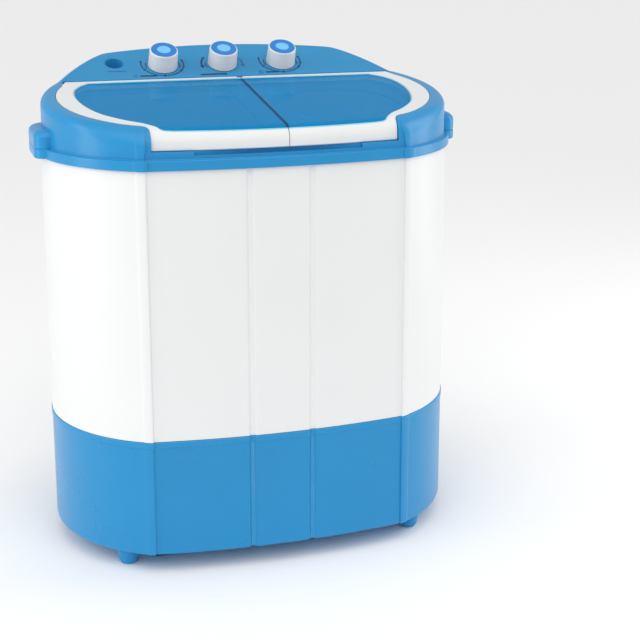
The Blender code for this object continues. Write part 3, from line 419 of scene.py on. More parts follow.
# %% Node helpers
def node(tree, kind, **values):
    made = tree.nodes.new("ShaderNode" + kind)
    for key, value in values.items():
        if key in made.inputs:
            made.inputs[key].default_value = value
        else:
            setattr(made, key, value)
    return made


def new_group(name, inputs, outputs):
    tree = bpy.data.node_groups.new(name, "ShaderNodeTree")
    for label, value in inputs.items():
        kind = "NodeSocketColor" if isinstance(value, tuple) else "NodeSocketFloat"
        tree.interface.new_socket(label, in_out="INPUT", socket_type=kind).default_value = value
    for label, kind in outputs.items():
        tree.interface.new_socket(label, in_out="OUTPUT", socket_type="NodeSocket" + kind)
    return tree, tree.nodes.new("NodeGroupInput"), tree.nodes.new("NodeGroupOutput")


# %% Moulded grain: a fine height, and a broad patchiness
grain_group, source, result = new_group("moulded grain", {"Scale": 900.0, "Patch Scale": 14.0},
                                        {"Height": "Float", "Patches": "Float"})
place = node(grain_group, "TexCoord")
fine = node(grain_group, "TexNoise", Detail=2.0, Roughness=0.6)
broad = node(grain_group, "TexNoise", Detail=3.0, Roughness=0.5)
for texture, label in ((fine, "Scale"), (broad, "Patch Scale")):
    grain_group.links.new(place.outputs["Object"], texture.inputs["Vector"])
    grain_group.links.new(source.outputs[label], texture.inputs["Scale"])
grain_group.links.new(fine.outputs["Fac"], result.inputs["Height"])
grain_group.links.new(broad.outputs["Fac"], result.inputs["Patches"])

# %% Edge wear: where a rounded normal differs from the true one
wear_group, source, result = new_group("edge wear", {"Radius": 0.0012, "Breakup": 60.0},
                                       {"Mask": "Float"})
rounded = node(wear_group, "Bevel", samples=4)
wear_group.links.new(source.outputs["Radius"], rounded.inputs["Radius"])
true_side = node(wear_group, "NewGeometry")
match = node(wear_group, "VectorMath", operation="DOT_PRODUCT")
wear_group.links.new(rounded.outputs["Normal"], match.inputs[0])
wear_group.links.new(true_side.outputs["Normal"], match.inputs[1])
spread = node(wear_group, "MapRange", **{"From Min": 0.99, "From Max": 0.86, "To Min": 0.0, "To Max": 1.0})
wear_group.links.new(match.outputs["Value"], spread.inputs["Value"])
place = node(wear_group, "TexCoord")
patchy = node(wear_group, "TexNoise", Detail=3.0)
wear_group.links.new(place.outputs["Object"], patchy.inputs["Vector"])
wear_group.links.new(source.outputs["Breakup"], patchy.inputs["Scale"])
worn = node(wear_group, "Math", operation="MULTIPLY")
wear_group.links.new(spread.outputs["Result"], worn.inputs[0])
wear_group.links.new(patchy.outputs["Fac"], worn.inputs[1])
wear_group.links.new(worn.outputs["Value"], result.inputs["Mask"])

# %% Dust: faces that look up, broken by noise
dust_group, source, result = new_group("dust", {"Amount": 0.15, "Scale": 35.0}, {"Mask": "Float"})
side = node(dust_group, "NewGeometry")
axes = node(dust_group, "SeparateXYZ")
dust_group.links.new(side.outputs["Normal"], axes.inputs["Vector"])
place = node(dust_group, "TexCoord")
specks = node(dust_group, "TexNoise", Detail=6.0, Roughness=0.7)
dust_group.links.new(place.outputs["Object"], specks.inputs["Vector"])
dust_group.links.new(source.outputs["Scale"], specks.inputs["Scale"])
up = node(dust_group, "Math", operation="MULTIPLY", use_clamp=True)
dust_group.links.new(axes.outputs["Z"], up.inputs[0])
dust_group.links.new(specks.outputs["Fac"], up.inputs[1])
thin = node(dust_group, "Math", operation="MULTIPLY")
dust_group.links.new(up.outputs["Value"], thin.inputs[0])
dust_group.links.new(source.outputs["Amount"], thin.inputs[1])
dust_group.links.new(thin.outputs["Value"], result.inputs["Mask"])
print("groups:", [group.name for group in bpy.data.node_groups])

# %% [markdown]
# ## Finishes
# The real machine has few materials: blue and white shell plastic, tinted windows, rubber and plain
# metal. Each could have a node tree of its own, but they differ only in colour, gloss, grain and wear. So
# one function lays the three effects over a plain colour, and the shader keeps its constants on its own
# sockets.

# %% Colour and gloss of a finish
DUST_COLOUR = (0.72, 0.71, 0.68)


def layer(tree, mask, below, colour):
    """Lay a colour over what is below it, as far as the mask says."""
    mixed = node(tree, "MixRGB", blend_type="MIX", Color2=(*colour, 1))
    tree.links.new(mask, mixed.inputs["Fac"])
    tree.links.new(below, mixed.inputs["Color1"])
    return mixed.outputs["Color"]


def surface_colour(tree, grain, edges, specks, colour, patch, worn_colour, wear):
    """Patchy plastic, then its rubbed edges, then dust."""
    shade = node(tree, "MixRGB", blend_type="MIX", Color1=(*[c * (1 - patch) for c in colour], 1),
                 Color2=(*[min(c * (1 + patch), 1) for c in colour], 1))
    tree.links.new(grain.outputs["Patches"], shade.inputs["Fac"])
    strength = node(tree, "Math", operation="MULTIPLY")
    strength.inputs[1].default_value = wear
    tree.links.new(edges.outputs["Mask"], strength.inputs[0])
    rubbed = layer(tree, strength.outputs["Value"], shade.outputs["Color"], worn_colour)
    return layer(tree, specks.outputs["Mask"], rubbed, DUST_COLOUR)


def surface_roughness(tree, grain, specks, roughness):
    """The gloss varies a little with the flow of the plastic, and dust dulls it."""
    gloss = node(tree, "MapRange", **{"To Min": roughness * 0.85, "To Max": roughness * 1.2})
    tree.links.new(grain.outputs["Patches"], gloss.inputs["Value"])
    duller = node(tree, "Math", operation="ADD", use_clamp=True)
    tree.links.new(gloss.outputs["Result"], duller.inputs[0])
    tree.links.new(specks.outputs["Mask"], duller.inputs[1])
    return duller.outputs["Value"]


# %% A whole finish
def finish(name, colour, roughness, grain_scale, grain_depth, worn_colour, wear=0.5, dust=0.12, patch=0.10,
           **constants):
    """A material; constants are sockets of the shader that are the same all over, such as ior or alpha."""
    made = bpy.data.materials.new(name)
    made.use_nodes = True
    tree = made.node_tree
    shader = tree.nodes["Principled BSDF"]
    sockets = {"metallic": 0.0, "coat_weight": 0.0, "coat_roughness": 0.12, "alpha": 1.0, "ior": 1.45,
               "subsurface_weight": 0.0, "subsurface_scale": 0.003}
    for key, value in {**sockets, **constants}.items():
        label = key.upper() if key == "ior" else key.replace("_", " ").title()
        shader.inputs[label].default_value = value

    grain = node(tree, "Group", node_tree=grain_group)
    grain.inputs["Scale"].default_value = grain_scale
    edges = node(tree, "Group", node_tree=wear_group)
    specks = node(tree, "Group", node_tree=dust_group)
    specks.inputs["Amount"].default_value = dust
    tree.links.new(surface_colour(tree, grain, edges, specks, colour, patch, worn_colour, wear),
                   shader.inputs["Base Color"])
    tree.links.new(surface_roughness(tree, grain, specks, roughness), shader.inputs["Roughness"])
    bump = node(tree, "Bump", Strength=0.35, Distance=grain_depth)
    tree.links.new(grain.outputs["Height"], bump.inputs["Height"])
    tree.links.new(bump.outputs["Normal"], shader.inputs["Normal"])
    return made


# %% One finish for each slot of the record
FINISHES = {
    "blue_shell": finish("blue shell", (0.016, 0.270, 0.575), 0.28, 1100, 0.00006, (0.16, 0.48, 0.78),
                         wear=0.4, dust=0.03, patch=0.04, ior=1.38),
    "white_shell": finish("white shell", (0.81, 0.82, 0.82), 0.34, 1300, 0.00005, (0.90, 0.90, 0.90),
                          dust=0.03, patch=0.015, ior=1.40),
    "panel_blue": finish("panel blue", (0.022, 0.255, 0.520), 0.38, 1500, 0.00005, (0.20, 0.50, 0.80),
                         dust=0.04, patch=0.04, ior=1.33),
    "window_blue": finish("window blue", (0.000, 0.330, 0.720), 0.06, 400, 0.00001, (0.02, 0.42, 0.70),
                          wear=0.8, dust=0.0, alpha=0.52, patch=0.06, ior=1.12),
    "knob_white": finish("knob white", (0.82, 0.81, 0.80), 0.32, 1600, 0.00004, (0.93, 0.93, 0.93),
                         dust=0.04, patch=0.02),
    "cap_blue": finish("cap blue", (0.006, 0.205, 0.610), 0.28, 1600, 0.00003, (0.12, 0.45, 0.85), dust=0.03),
    # The tubs' white is darkened to a mid blue: painted shade of the deep, dim inside of the tubs, shared by
    # the tubs, lint filter and spin basket.
    "tub_white": finish("tub white darkened as painted shade", (0.24, 0.48, 0.70), 0.42, 800, 0.00008, (0.80, 0.88, 0.93),
                        dust=0.05, patch=0.05, subsurface_weight=0.1),
    "grey_plastic": finish("grey plastic", (0.26, 0.27, 0.29), 0.48, 900, 0.00010, (0.42, 0.43, 0.45),
                           dust=0.15),
    "black_rubber": finish("black rubber", (0.020, 0.020, 0.021), 0.62, 700, 0.00012, (0.08, 0.08, 0.08),
                           dust=0.20),
    "steel": finish("steel", (0.60, 0.60, 0.62), 0.28, 500, 0.00004, (0.80, 0.80, 0.80),
                    metallic=1.0, dust=0.08),
    "motor_metal": finish("motor metal", (0.30, 0.31, 0.33), 0.42, 600, 0.00008, (0.55, 0.55, 0.55),
                          metallic=0.8, dust=0.20),
}
print(len(FINISHES), "finishes for the record's slots")

# %% Inks, one of which also paints the shade in the lids' gap, the pale discs of the knobs and the painted highlight on the windows' edge
cap_disc_blue = finish("pale disc blue", (0.18, 0.56, 0.93), 0.30, 1600, 0.00003, (0.5, 0.8, 0.95), dust=0.02)
# This dark ink is also used to paint the shade in the gap where the two lids meet.
print_ink_and_gap_shade = finish("printed ink and painted gap shade", (0.006, 0.030, 0.095), 0.45, 1800, 0.00002, (0.02, 0.06, 0.15),
                   wear=0.1, dust=0.02)
faint_ink = finish("faint ink", (0.020, 0.120, 0.330), 0.45, 1800, 0.00002, (0.03, 0.15, 0.36),
                   wear=0.1, dust=0.02)
# A pale cyan painted highlight: it stands in for the white frame's lit inner edge, seen through the tinted
# glass.
painted_edge_cyan = finish("window edge painted highlight", (0.30, 0.66, 0.80), 0.25, 900, 0.00002, (0.6, 0.85, 0.92),
                   dust=0.02, coat_weight=0.4)
print(len(bpy.data.materials), "materials in all")

# %% [markdown]
# ## Putting a piece in place
# On the real machine a piece moves with what it is fastened to. A parent would do that in Blender, but
# here the frame knows the moving bodies, so each piece says which body it rides on, which slot its
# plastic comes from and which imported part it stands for.

# %% Body, slot, finish, and what the piece stands for
def settle(piece, body, slot, *nodes, paint=None):
    """Any turn of the piece goes into its mesh, so that its box is measured along the machine's own axes."""
    turn = piece.matrix_world.to_3x3().to_4x4()
    piece.data.transform(turn)
    piece.matrix_world = Matrix.Translation(piece.matrix_world.translation)
    piece.data.materials.clear()
    piece.data.materials.append(paint or FINISHES[slot])
    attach(piece, body)
    if nodes:
        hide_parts(*nodes)
    print(f"{piece.name}: {len(piece.data.polygons)} faces, rides on {body}")


# %% [markdown]
# ## Carried-over parts
# Motors, belts, springs and pipes sit inside the casing, where they hardly show. They could be built
# again in finer detail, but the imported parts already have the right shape. So they keep it, and take the
# finish of their slot.

# %% Give the carried-over parts their finishes
for entry in frame["record"]["subparts"]:
    carried = frame["nodes"][entry["node"]]
    carried.data.materials.clear()
    carried.data.materials.append(FINISHES[entry["material_slot"]])

# %% [markdown]
# ## Base
# The base is a blue tray with a rolled lower edge and a thin step under its rim. It could be an extruded
# outline with a bevel, but a bevel has the same radius everywhere. Here each ring has its own inset and
# height, so the roll and the step are both in the same skin.

# %% Base
def make_base():
    steps = [(0.0075, BASE_FOOT_Z), (0.0042, BASE_FOOT_Z + 0.0006), (0.0022, BASE_FOOT_Z + 0.0022),
             (0.0012, BASE_FOOT_Z + 0.0055), (0.0010, BASE_TOP - 0.0092), (0.0008, BASE_TOP - 0.0085),
             (0.0001, BASE_TOP - 0.0078), (0.0, BASE_TOP - 0.0070), (0.0, BASE_TOP - 0.0007),
             (0.0005, BASE_TOP)]
    rings = [at(inset(plan(), edge), z) for edge, z in steps]
    inner = inset(plan(0.0), 0.0055)
    rings += [at(inner, BASE_TOP), at(inner, BASE_FOOT_Z + 0.004)]
    settle(skin("base_shell", rings, middle=0), "casing", "blue_shell", "base")


make_base()

# %% [markdown]
# ## Cabinet
# The cabinet is a plain white sleeve between base and cover. A Solidify modifier could give a sheet its
# wall, but the inside has no flutes, so the sleeve is skinned from an outer and an inner outline of the
# same plan. The flutes and beads run on from the base without a break.

# %% Cabinet sleeve
def make_cabinet():
    low, high = cabinet_low.z, cabinet_high.z
    outer, inner = inset(plan(), 0.001), inset(plan(0.0), 0.0055)
    rings = [at(inset(plan(), 0.0016), low), at(outer, low + 0.0006), at(outer, high - 0.0006),
             at(inset(plan(), 0.0016), high), at(inner, high), at(inner, low)]
    settle(skin("cabinet_sleeve", rings, closed=True), "casing", "white_shell", "cabinet")


make_cabinet()

# %% [markdown]
# ## Feet
# Four tapered pegs are moulded under the base, each with a rounded tip and a shallow dish below. Scaled
# cones would be quicker, but the tip shows from the front, so each foot is a turned profile.

# %% Feet
def make_feet():
    for name in ("foot_front_left", "foot_front_right", "foot_rear_left", "foot_rear_right"):
        x, y, _ = middle_of(name)
        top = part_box(name)[1].z
        profile = [(0, 0.0008), (0.0060, 0.0008), (0.0068, 0), (0.0085, 0), (0.0105, 0.0007),
                   (0.0116, 0.0022), (0.0128, 0.0050), (0.0142, 0.0120), (0.0160, top - 0.004),
                   (0.0170, top - 0.0015), (0.0178, top), (0, top)]
        settle(turned(name + "_peg", profile, 48, (x, y, 0)), "casing", "blue_shell", name)


make_feet()

# %% [markdown]
# ## Top cover
# The cover is one moulding: a flange round the cabinet, a collar with a soft shoulder that is fuller at
# the front ends, and two slopes on top. It could be sculpted from a subdivided box, but the shoulder has
# to change its radius along the edge and still meet both slopes. So the rings carry the rounding, and
# Booleans take out what the tool's inserts would: the lids' pocket, the panel's seat, the lip's notch and
# the openings above the tubs.

# %% Rounded collar
def shoulder(y):
    part = min(max((-0.100 - y) / 0.050, 0.0), 1.0)
    return 0.011 + 0.011 * part * part * (3 - 2 * part)


def collar_ring(turn):
    """The collar's edge at one step of its rounding; the bead fades out as the ring moves inwards."""
    plain, beaded = plan(0.0), plan(1.0, False)
    radii = [shoulder(y) for _, y in plain]
    depth = [COLLAR_INSET + r * (1 - math.cos(turn)) for r in radii]
    moved = inset(plain, depth, 10)
    fade = max(math.cos(turn), 0.0) ** 2
    ring = [(x + (b[0] - p[0]) * fade, y + (b[1] - p[1]) * fade)
            for (x, y), p, b in zip(moved, plain, beaded)]
    for i in range(len(ring)):
        here, after = ring[i], ring[(i + 1) % len(ring)]
        if (here[1] - BEND_Y) * (after[1] - BEND_Y) < 0:
            part = (BEND_Y - here[1]) / (after[1] - here[1])
            near = i if part < 0.5 else (i + 1) % len(ring)
            ring[near] = (here[0] + part * (after[0] - here[0]), BEND_Y)
    return [(x, y, top_height(y) - r * (1 - math.sin(turn))) for (x, y), r in zip(ring, radii)]


# %% Flange and collar in one skin
def make_cover_body():
    beaded = plan(1.0, False)
    flange = [(0.0004, FLANGE_LOW), (-0.0026, FLANGE_LOW), (-0.0030, FLANGE_LOW + 0.0006),
              (-0.0030, FLANGE_TOP - 0.0016), (-0.0025, FLANGE_TOP - 0.0006), (-0.0014, FLANGE_TOP),
              (0.0026, FLANGE_TOP), (COLLAR_INSET, FLANGE_TOP + 0.0008)]
    rings = [at(inset(beaded, edge, 2), z) for edge, z in flange]
    rings += [collar_ring(math.pi / 2 * k / 10) for k in range(11)]
    return skin("top_cover_shell", rings, middle=0)


# %% [markdown]
# ### Grip lugs
# A lug stands out at each end of the flange, where two hands lift the machine. It could be its own piece,
# but on the real cover it is part of the moulding, so it is united with it and shares its rounded edges.

# %% Grip lugs on the two ends
LUG_SHOULDER, LUG_ROUND, LUG_ROOT_X = 0.5660, 0.0105, 0.252


def lug_outline(side, edge):
    """Plan of one lug: its outer corners are quarter circles, and it runs well into the collar."""
    tip, half, radius = cover_high.x - edge, 0.045 - edge, 0.016
    corners = [(tip - radius + radius * math.sin(t), half - radius + radius * math.cos(t))
               for t in (math.pi / 2 * k / 8 for k in range(9))]
    right = [(LUG_ROOT_X, half)] + corners + [(x, -y) for x, y in reversed(corners)] + [(LUG_ROOT_X, -half)]
    return [(side * x, y) for x, y in (right if side > 0 else right[::-1])]


def make_lugs(cover):
    steps = [(0.0012, FLANGE_LOW + 0.0002), (0.0002, FLANGE_LOW + 0.0012), (0.0, FLANGE_LOW + 0.004),
             (0.0, FLANGE_TOP - 0.0010), (0.0008, FLANGE_TOP), (0.0001, FLANGE_TOP + 0.0010),
             (0.0, LUG_SHOULDER)]
    turns = [math.pi / 2 * k / 6 for k in range(1, 7)]
    steps += [(LUG_ROUND * (1 - math.cos(t)), LUG_SHOULDER + LUG_ROUND * math.sin(t)) for t in turns]
    for side in (-1, 1):
        lug = skin("lug", [at(lug_outline(side, edge), z) for edge, z in steps])
        carve(cover, lug, operation="UNION")


# %% [markdown]
# ### Openings and pockets
# Under the left lid the wash tub opens almost to the edge, and under the right one a rounded square leads
# to the spin basket. Faces could be deleted by hand, but the wall would lose its thickness, so closed
# cutters are used.

# %% Where the openings, knobs and water inlet are
WASH_CLIP_X = -0.006
SPIN_X, SPIN_Y = middle_of("spin_basket").xy
WASH_X, WASH_Y = middle_of("pulsator").xy
KNOB_Y = 0.1245
KNOB_XS = {name: middle_of(f"{name}_knob").x for name in ("wash_timer", "selector", "spin_timer")}
INLET_X, INLET_Y, INLET_R = -0.158, 0.134, 0.0142
SPIN_HALF_X, SPIN_HALF_Y, SQUARENESS = 0.078, 0.092, 2.3
print("knobs at", {name: round(x, 4) for name, x in KNOB_XS.items()})

# %% Outlines of the openings
def wash_opening(shrink=0.0):
    edge = mirrored(smooth_path(OPENING_SIDE, 5))
    return inset(clip(inset(edge, 0.0055), WASH_CLIP_X, -1), shrink)


def spin_opening():
    """A rounded square: a circle whose sine and cosine are raised to a power below one."""
    outline = []
    for k in range(96):
        c, s = math.cos(2 * math.pi * k / 96), math.sin(2 * math.pi * k / 96)
        outline.append((SPIN_X + SPIN_HALF_X * math.copysign(abs(c) ** (2 / SQUARENESS), c),
                        SPIN_Y + SPIN_HALF_Y * math.copysign(abs(s) ** (2 / SQUARENESS), s)))
    return outline


def inlet_cutter(depth, segments):
    """A round cutter that stands square on the panel and reaches a depth below it."""
    profile = [(0, -depth), (INLET_R, -depth), (INLET_R, 0.02), (0, 0.02)]
    cutter = turned("inlet", profile, segments)
    cutter.matrix_world = on_panel(INLET_X, INLET_Y)
    return cutter


# %% Cut the hollow below, the pocket of the lids and the seat of the panel
SEAT_X = 0.2365


def hollow_cover(cover):
    skirt = inset(plan(0.0), 0.012, 10)
    behind_lip = [(x, y if y > 0 or abs(x) > LIP_X + 0.0055 else max(y, -0.147)) for x, y in skirt]
    pocket = [(math.copysign(max(abs(x), SEAT_X) if y > 0.078 else abs(x), x), y)
              for x, y in inset(lid_outline(LID_REAR_Y), -0.0008)]
    carve(cover, prism("skirt", skirt, FLANGE_LOW - 0.01, LIP_Z - 0.0090),
          prism("deck", behind_lip, FLANGE_LOW - 0.02, lid_plane(0.017)),
          prism("pocket", pocket, lid_plane(0.0135), lid_plane(-0.04)))
    notch_x = LIP_X + 0.0010
    carve(cover, block("notch", (-notch_x, -0.21, LIP_Z - 0.0005), (notch_x, -0.150, 0.64)),
          block("finger", (-0.110, -0.21, LIP_Z - 0.0060), (0.110, -0.166, 0.63)),
          prism("seat", panel_outline(), panel_plane(0.003), panel_plane(-0.02)),
          block("front_seat", (-SEAT_X, 0.090, panel_plane(0.003)(BEND_Y)), (SEAT_X, BEND_Y + 0.0005, 0.66)))


# %% Open the tubs, clear the space under the panel, and add the post that carries the hinge pins
def open_cover(cover):
    carve(cover, prism("wash_hole", wash_opening(), 0.50, 0.66),
          prism("spin_hole", spin_opening(), 0.50, 0.66))
    behind = [p for p in inset(plan(0.0), 0.014, 6) if p[1] > 0.12]
    behind = [(behind[-1][0], 0.105), (-behind[-1][0], 0.105)] + behind
    hollow = prism("panel_hollow", behind, FLANGE_LOW - 0.03, panel_plane(0.0062))
    carve(cover, hollow, inlet_cutter(0.036, 48))
    post = block("post", (LID_SPLIT_X - 0.003, HINGE.y - 0.0035, lid_plane(0.0155)(HINGE.y)),
                 (LID_SPLIT_X + 0.003, HINGE.y + 0.0058, lid_plane(0.0012)(HINGE.y)), 0.0008, 2)
    carve(cover, post, operation="UNION")


# %% The whole cover
def make_cover():
    cover = make_cover_body()
    make_lugs(cover)
    hollow_cover(cover)
    open_cover(cover)
    soften(cover, 0.0007)
    settle(cover, "casing", "blue_shell", "top_cover")


make_cover()

# %% [markdown]
# ## Lids
# Each lid is a white frame that slopes gently, falls over the front as a rounded lip and carries a tinted
# window. It could be cut from a bent plate, but the lip follows the bowed front, so its side view changes
# along X. The frame is a skin over those side views, trimmed to the plan of the lids.

# %% Side view of a lid and of its window
def lid_section(x):
    """Side view of a lid at x: round at the hinge, the slope, then the lip, and back along the underside."""
    radius = LID_THICK / 2 * math.cos(LID_TILT)
    turns = [LID_TILT + math.pi / 2 - math.pi * k / 12 for k in range(13)]
    hinge = [(HINGE.y + radius * math.cos(t), HINGE.z + radius * math.sin(t)) for t in turns]
    cy = LIP_INSET - bow(x) + LIP_R
    cz = lid_plane(LIP_R / math.cos(LID_TILT))(cy)
    under_r = LIP_R - 2 * radius
    falls = [LID_TILT + math.pi / 2 + (math.pi / 2 - LID_TILT) * k / 12 for k in range(13)]
    under = [(cy + under_r * math.cos(t), cz + under_r * math.sin(t)) for t in falls]
    over = [(cy + LIP_R * math.cos(t), cz + LIP_R * math.sin(t)) for t in reversed(falls)]
    lip = [(cy - under_r, LIP_Z + 0.0008), (cy - under_r - 0.0008, LIP_Z), (cy - LIP_R + 0.0012, LIP_Z),
           (cy - LIP_R, LIP_Z + 0.0012)]
    return hinge + under + lip + over


# %% Height of a lid and side view of a window
def lid_top(x, y):
    """Height of a lid's outer face: the slope, then the rounding above the lip."""
    cy = LIP_INSET - bow(x) + LIP_R
    if y > cy - LIP_R * math.sin(LID_TILT):
        return lid_plane()(y)
    return lid_plane(LIP_R / math.cos(LID_TILT))(cy) + math.sqrt(max(LIP_R ** 2 - (y - cy) ** 2, 0))


def window_section(x):
    """Side view of a window at x: it follows the slope and part of the rounding."""
    cy = LIP_INSET - bow(x) + LIP_R
    cz = lid_plane(LIP_R / math.cos(LID_TILT))(cy)
    falls = [LID_TILT + math.pi / 2 + math.radians(68) * k / 14 for k in range(15)]
    sides = []
    for drop in (0.0009, 0.0034):
        radius = LIP_R - drop * math.cos(LID_TILT)
        arc = [(cy + radius * math.cos(t), cz + radius * math.sin(t)) for t in falls]
        sides.append([(HINGE.y, lid_plane(drop)(HINGE.y))] + arc)
    return sides[1] + sides[0][::-1]


# %% Where the side views are taken
def lid_stations(side):
    """side is -1 for the wash lid on the left and 1 for the spin lid on the right."""
    tips = [0.30, 0.24, 0.20] + [0.19 - 0.01 * k for k in range(18)]
    return sorted([side * tip for tip in tips if side * (side * tip - LID_SPLIT_X) > 0.004]
                  + [LID_SPLIT_X - side * 0.002])


def inner_edge(side):
    return LID_SPLIT_X + side * 0.0005


def cut_to(piece, outline, side):
    """Trim a piece to an outline, up to the gap between the two lids."""
    trim = prism("trim", clip(outline, inner_edge(side), side), 0.45, 0.75)
    carve(piece, trim, operation="INTERSECT")


# %% Lid frames
def make_lid_frame(side, body):
    lid = skin(f"{body}_shell", [[(x, y, z) for y, z in lid_section(x)] for x in lid_stations(side)])
    cut_to(lid, lid_outline(LID_REAR_Y + 0.001), side)
    notch = block("notch", (LID_SPLIT_X - 0.0045, HINGE.y - 0.0062, 0.55), (LID_SPLIT_X + 0.0045, 0.11, 0.70))
    carve(lid, prism("hole", clip(window_outline(), LID_SPLIT_X - side * 0.01, side), 0.45, 0.75), notch)
    soften(lid, 0.0011, 3)
    settle(lid, body, "white_shell", f"{body}_frame")


# %% Windows
def make_window(side, body):
    glass = skin(f"{body}_glass", [[(x, y, z) for y, z in window_section(x)] for x in lid_stations(side)])
    cut_to(glass, inset(window_outline(), GAP), side)
    soften(glass, 0.0005)
    settle(glass, body, "window_blue", f"{body}_window")


# %% The painted highlight round a window, and the painted shade line where the lids meet
def make_painted_edge_and_gap(side, body):
    # A pale cyan ring round the window paints the highlight of the frame's lit inner edge seen through the
    # glass.
    steps = ((0.0002, 0.0012), (0.0002, 0.0002), (0.0011, 0.0001), (0.0018, 0.0004), (0.0021, 0.0012))
    rings = [[(x, y, lid_top(x, y) - drop) for x, y in inset(window_outline(), edge)] for edge, drop in steps]
    rim = skin(f"{body}_window_painted_edge", rings, closed=True)
    # A near-black strip of the dark ink along the split paints the shade in the gap where the two lids meet.
    inner, far = inner_edge(side), side * 0.4
    ys = [WINDOW_FRONT - bow(0) + 0.0004 + 0.244 * k / 60 for k in range(61)]
    edges = []
    for x in (inner + side * 0.0001, inner + side * 0.0011):
        under = [(x, y, lid_top(x, y) - 0.0010) for y in ys]
        edges.append(under + [(x, y, lid_top(x, y) - 0.0003) for y in reversed(ys)])
    settle(skin(f"{body}_split_painted_shade", edges), body, "window_blue", paint=print_ink_and_gap_shade)
    half = block("half", (min(inner, far), -0.3, 0.5), (max(inner, far), 0.3, 0.7))
    carve(rim, half, operation="INTERSECT")
    settle(rim, body, "window_blue", paint=painted_edge_cyan)


for side, body in ((-1, "wash_lid"), (1, "spin_lid")):
    make_lid_frame(side, body)
    make_window(side, body)
    make_painted_edge_and_gap(side, body)

# %% [markdown]
# ## Control panel and water inlet
# The panel is a thin D-shaped plate in a seat of its own, and a funnel in it takes the water hose. Plate
# and cover could be one mesh with two colours, but on the real machine they are two mouldings with a fine
# joint, so the plate is a prism between two sloping planes, and the funnel a turned profile.

# %% Control panel and water inlet
def make_panel():
    panel = prism("control_panel_plate", inset(panel_outline(), GAP), panel_plane(0.0027), panel_plane(0.0))
    carve(panel, inlet_cutter(0.05, 64))
    soften(panel, 0.0005)
    settle(panel, "casing", "panel_blue", "control_panel")
    profile = [(0.0141, -0.0004), (0.0138, -0.0001), (0.0130, -0.0004), (0.0125, -0.0015), (0.0118, -0.0150),
               (0.0095, -0.0190), (0.0050, -0.0240), (0.0050, -0.0340), (0.0065, -0.0340), (0.0066, -0.0250),
               (0.0134, -0.0155), (0.0141, -0.0100)]
    funnel = turned("inlet_funnel", profile, 64)
    funnel.matrix_world = on_panel(INLET_X, INLET_Y)
    settle(funnel, "casing", "panel_blue", "water_inlet_funnel")


make_panel()

# %% [markdown]
# ## Printed marks
# Scales, arrows and bars are printed round the knobs. They could be a texture, but they would blur up
# close and need an image, so they are raised ink a tenth of a millimetre thick, built on the panel's own
# tilted frame.

# %% A band of ink
INK = 0.00012


def strip(bm, inner, outer):
    """A raised band of ink between two rows of points."""
    rows = [[bm.verts.new((x, y, z)) for x, y in row] for row, z in
            ((inner, 0.0), (outer, 0.0), (outer, INK), (inner, INK))]
    for a, b in ((0, 1), (1, 2), (2, 3), (3, 0)):
        for i in range(len(inner) - 1):
            bm.faces.new((rows[a][i], rows[a][i + 1], rows[b][i + 1], rows[b][i]))
    for i in (0, -1):
        bm.faces.new([row[i] for row in rows])


# %% Arcs, bars, dots and arrows of ink
def ink_arc(bm, centre, radius, width, start, end, steps=40):
    turns = [math.radians(start + (end - start) * k / steps) for k in range(steps + 1)]
    rows = [[(centre[0] + r * math.cos(t), centre[1] + r * math.sin(t)) for t in turns]
            for r in (radius - width / 2, radius + width / 2)]
    strip(bm, *rows)


def ink_bar(bm, x0, x1, y, height):
    end = height * 0.35
    xs = [x0, x0 + end, x1 - end, x1]
    halves = [height * 0.28, height / 2, height / 2, height * 0.28]
    strip(bm, [(x, y - h) for x, h in zip(xs, halves)], [(x, y + h) for x, h in zip(xs, halves)])


def ink_dot(bm, centre, radius, angle, size):
    t = math.radians(angle)
    middle = (centre[0] + radius * math.cos(t), centre[1] + radius * math.sin(t))
    bmesh.ops.create_cone(bm, cap_ends=True, segments=16, radius1=size, radius2=size, depth=INK,
                          matrix=Matrix.Translation((*middle, INK / 2)))


def ink_arrow(bm, centre, radius, angle, size, way):
    t = math.radians(angle)
    out, along = Vector((math.cos(t), math.sin(t))), Vector((-math.sin(t), math.cos(t))) * way
    middle = Vector(centre) + out * radius
    tip = middle + along * size
    strip(bm, [tuple(middle - out * size * 0.6), tuple(tip)],
          [tuple(middle + out * size * 0.6), tuple(tip + out * 1e-5)])


# %% The scales of the timers and the arrows of the selector
def print_marks(name, place, draw, paint):
    bm = bmesh.new()
    draw(bm)
    marks = keep_mesh(name, bm)
    marks.matrix_world = place
    settle(marks, "casing", "cap_blue", paint=paint)


def timer_scale(bm):
    centre = (0.0, 0.0048)
    for start, end in ((166, 202), (212, 262), (274, 318), (326, 340), (348, 375)):
        ink_arc(bm, centre, 0.0306, 0.0018, start, end)
    dots = ((166, 0.0017), (207, 0.0021), (268, 0.0025), (322, 0.0021), (344, 0.0018), (375, 0.0018))
    for angle, size in dots:
        ink_dot(bm, centre, 0.0306, angle, size)
    ink_arc(bm, (0, 0), 0.0244, 0.0014, 160, 196, 12)
    ink_arc(bm, (0, 0), 0.0244, 0.0014, -18, 20, 12)


def selector_left(bm):
    ink_arc(bm, (0, 0), 0.0300, 0.0026, 140, 188, 16)
    ink_arrow(bm, (0, 0), 0.0300, 186, 0.0066, 1)
    ink_arc(bm, (0, 0), 0.0246, 0.0014, 170, 200, 10)


def selector_right(bm):
    ink_arc(bm, (0, 0), 0.0300, 0.0022, -8, 40, 16)
    ink_arrow(bm, (0, 0), 0.0300, -6, 0.0060, -1)


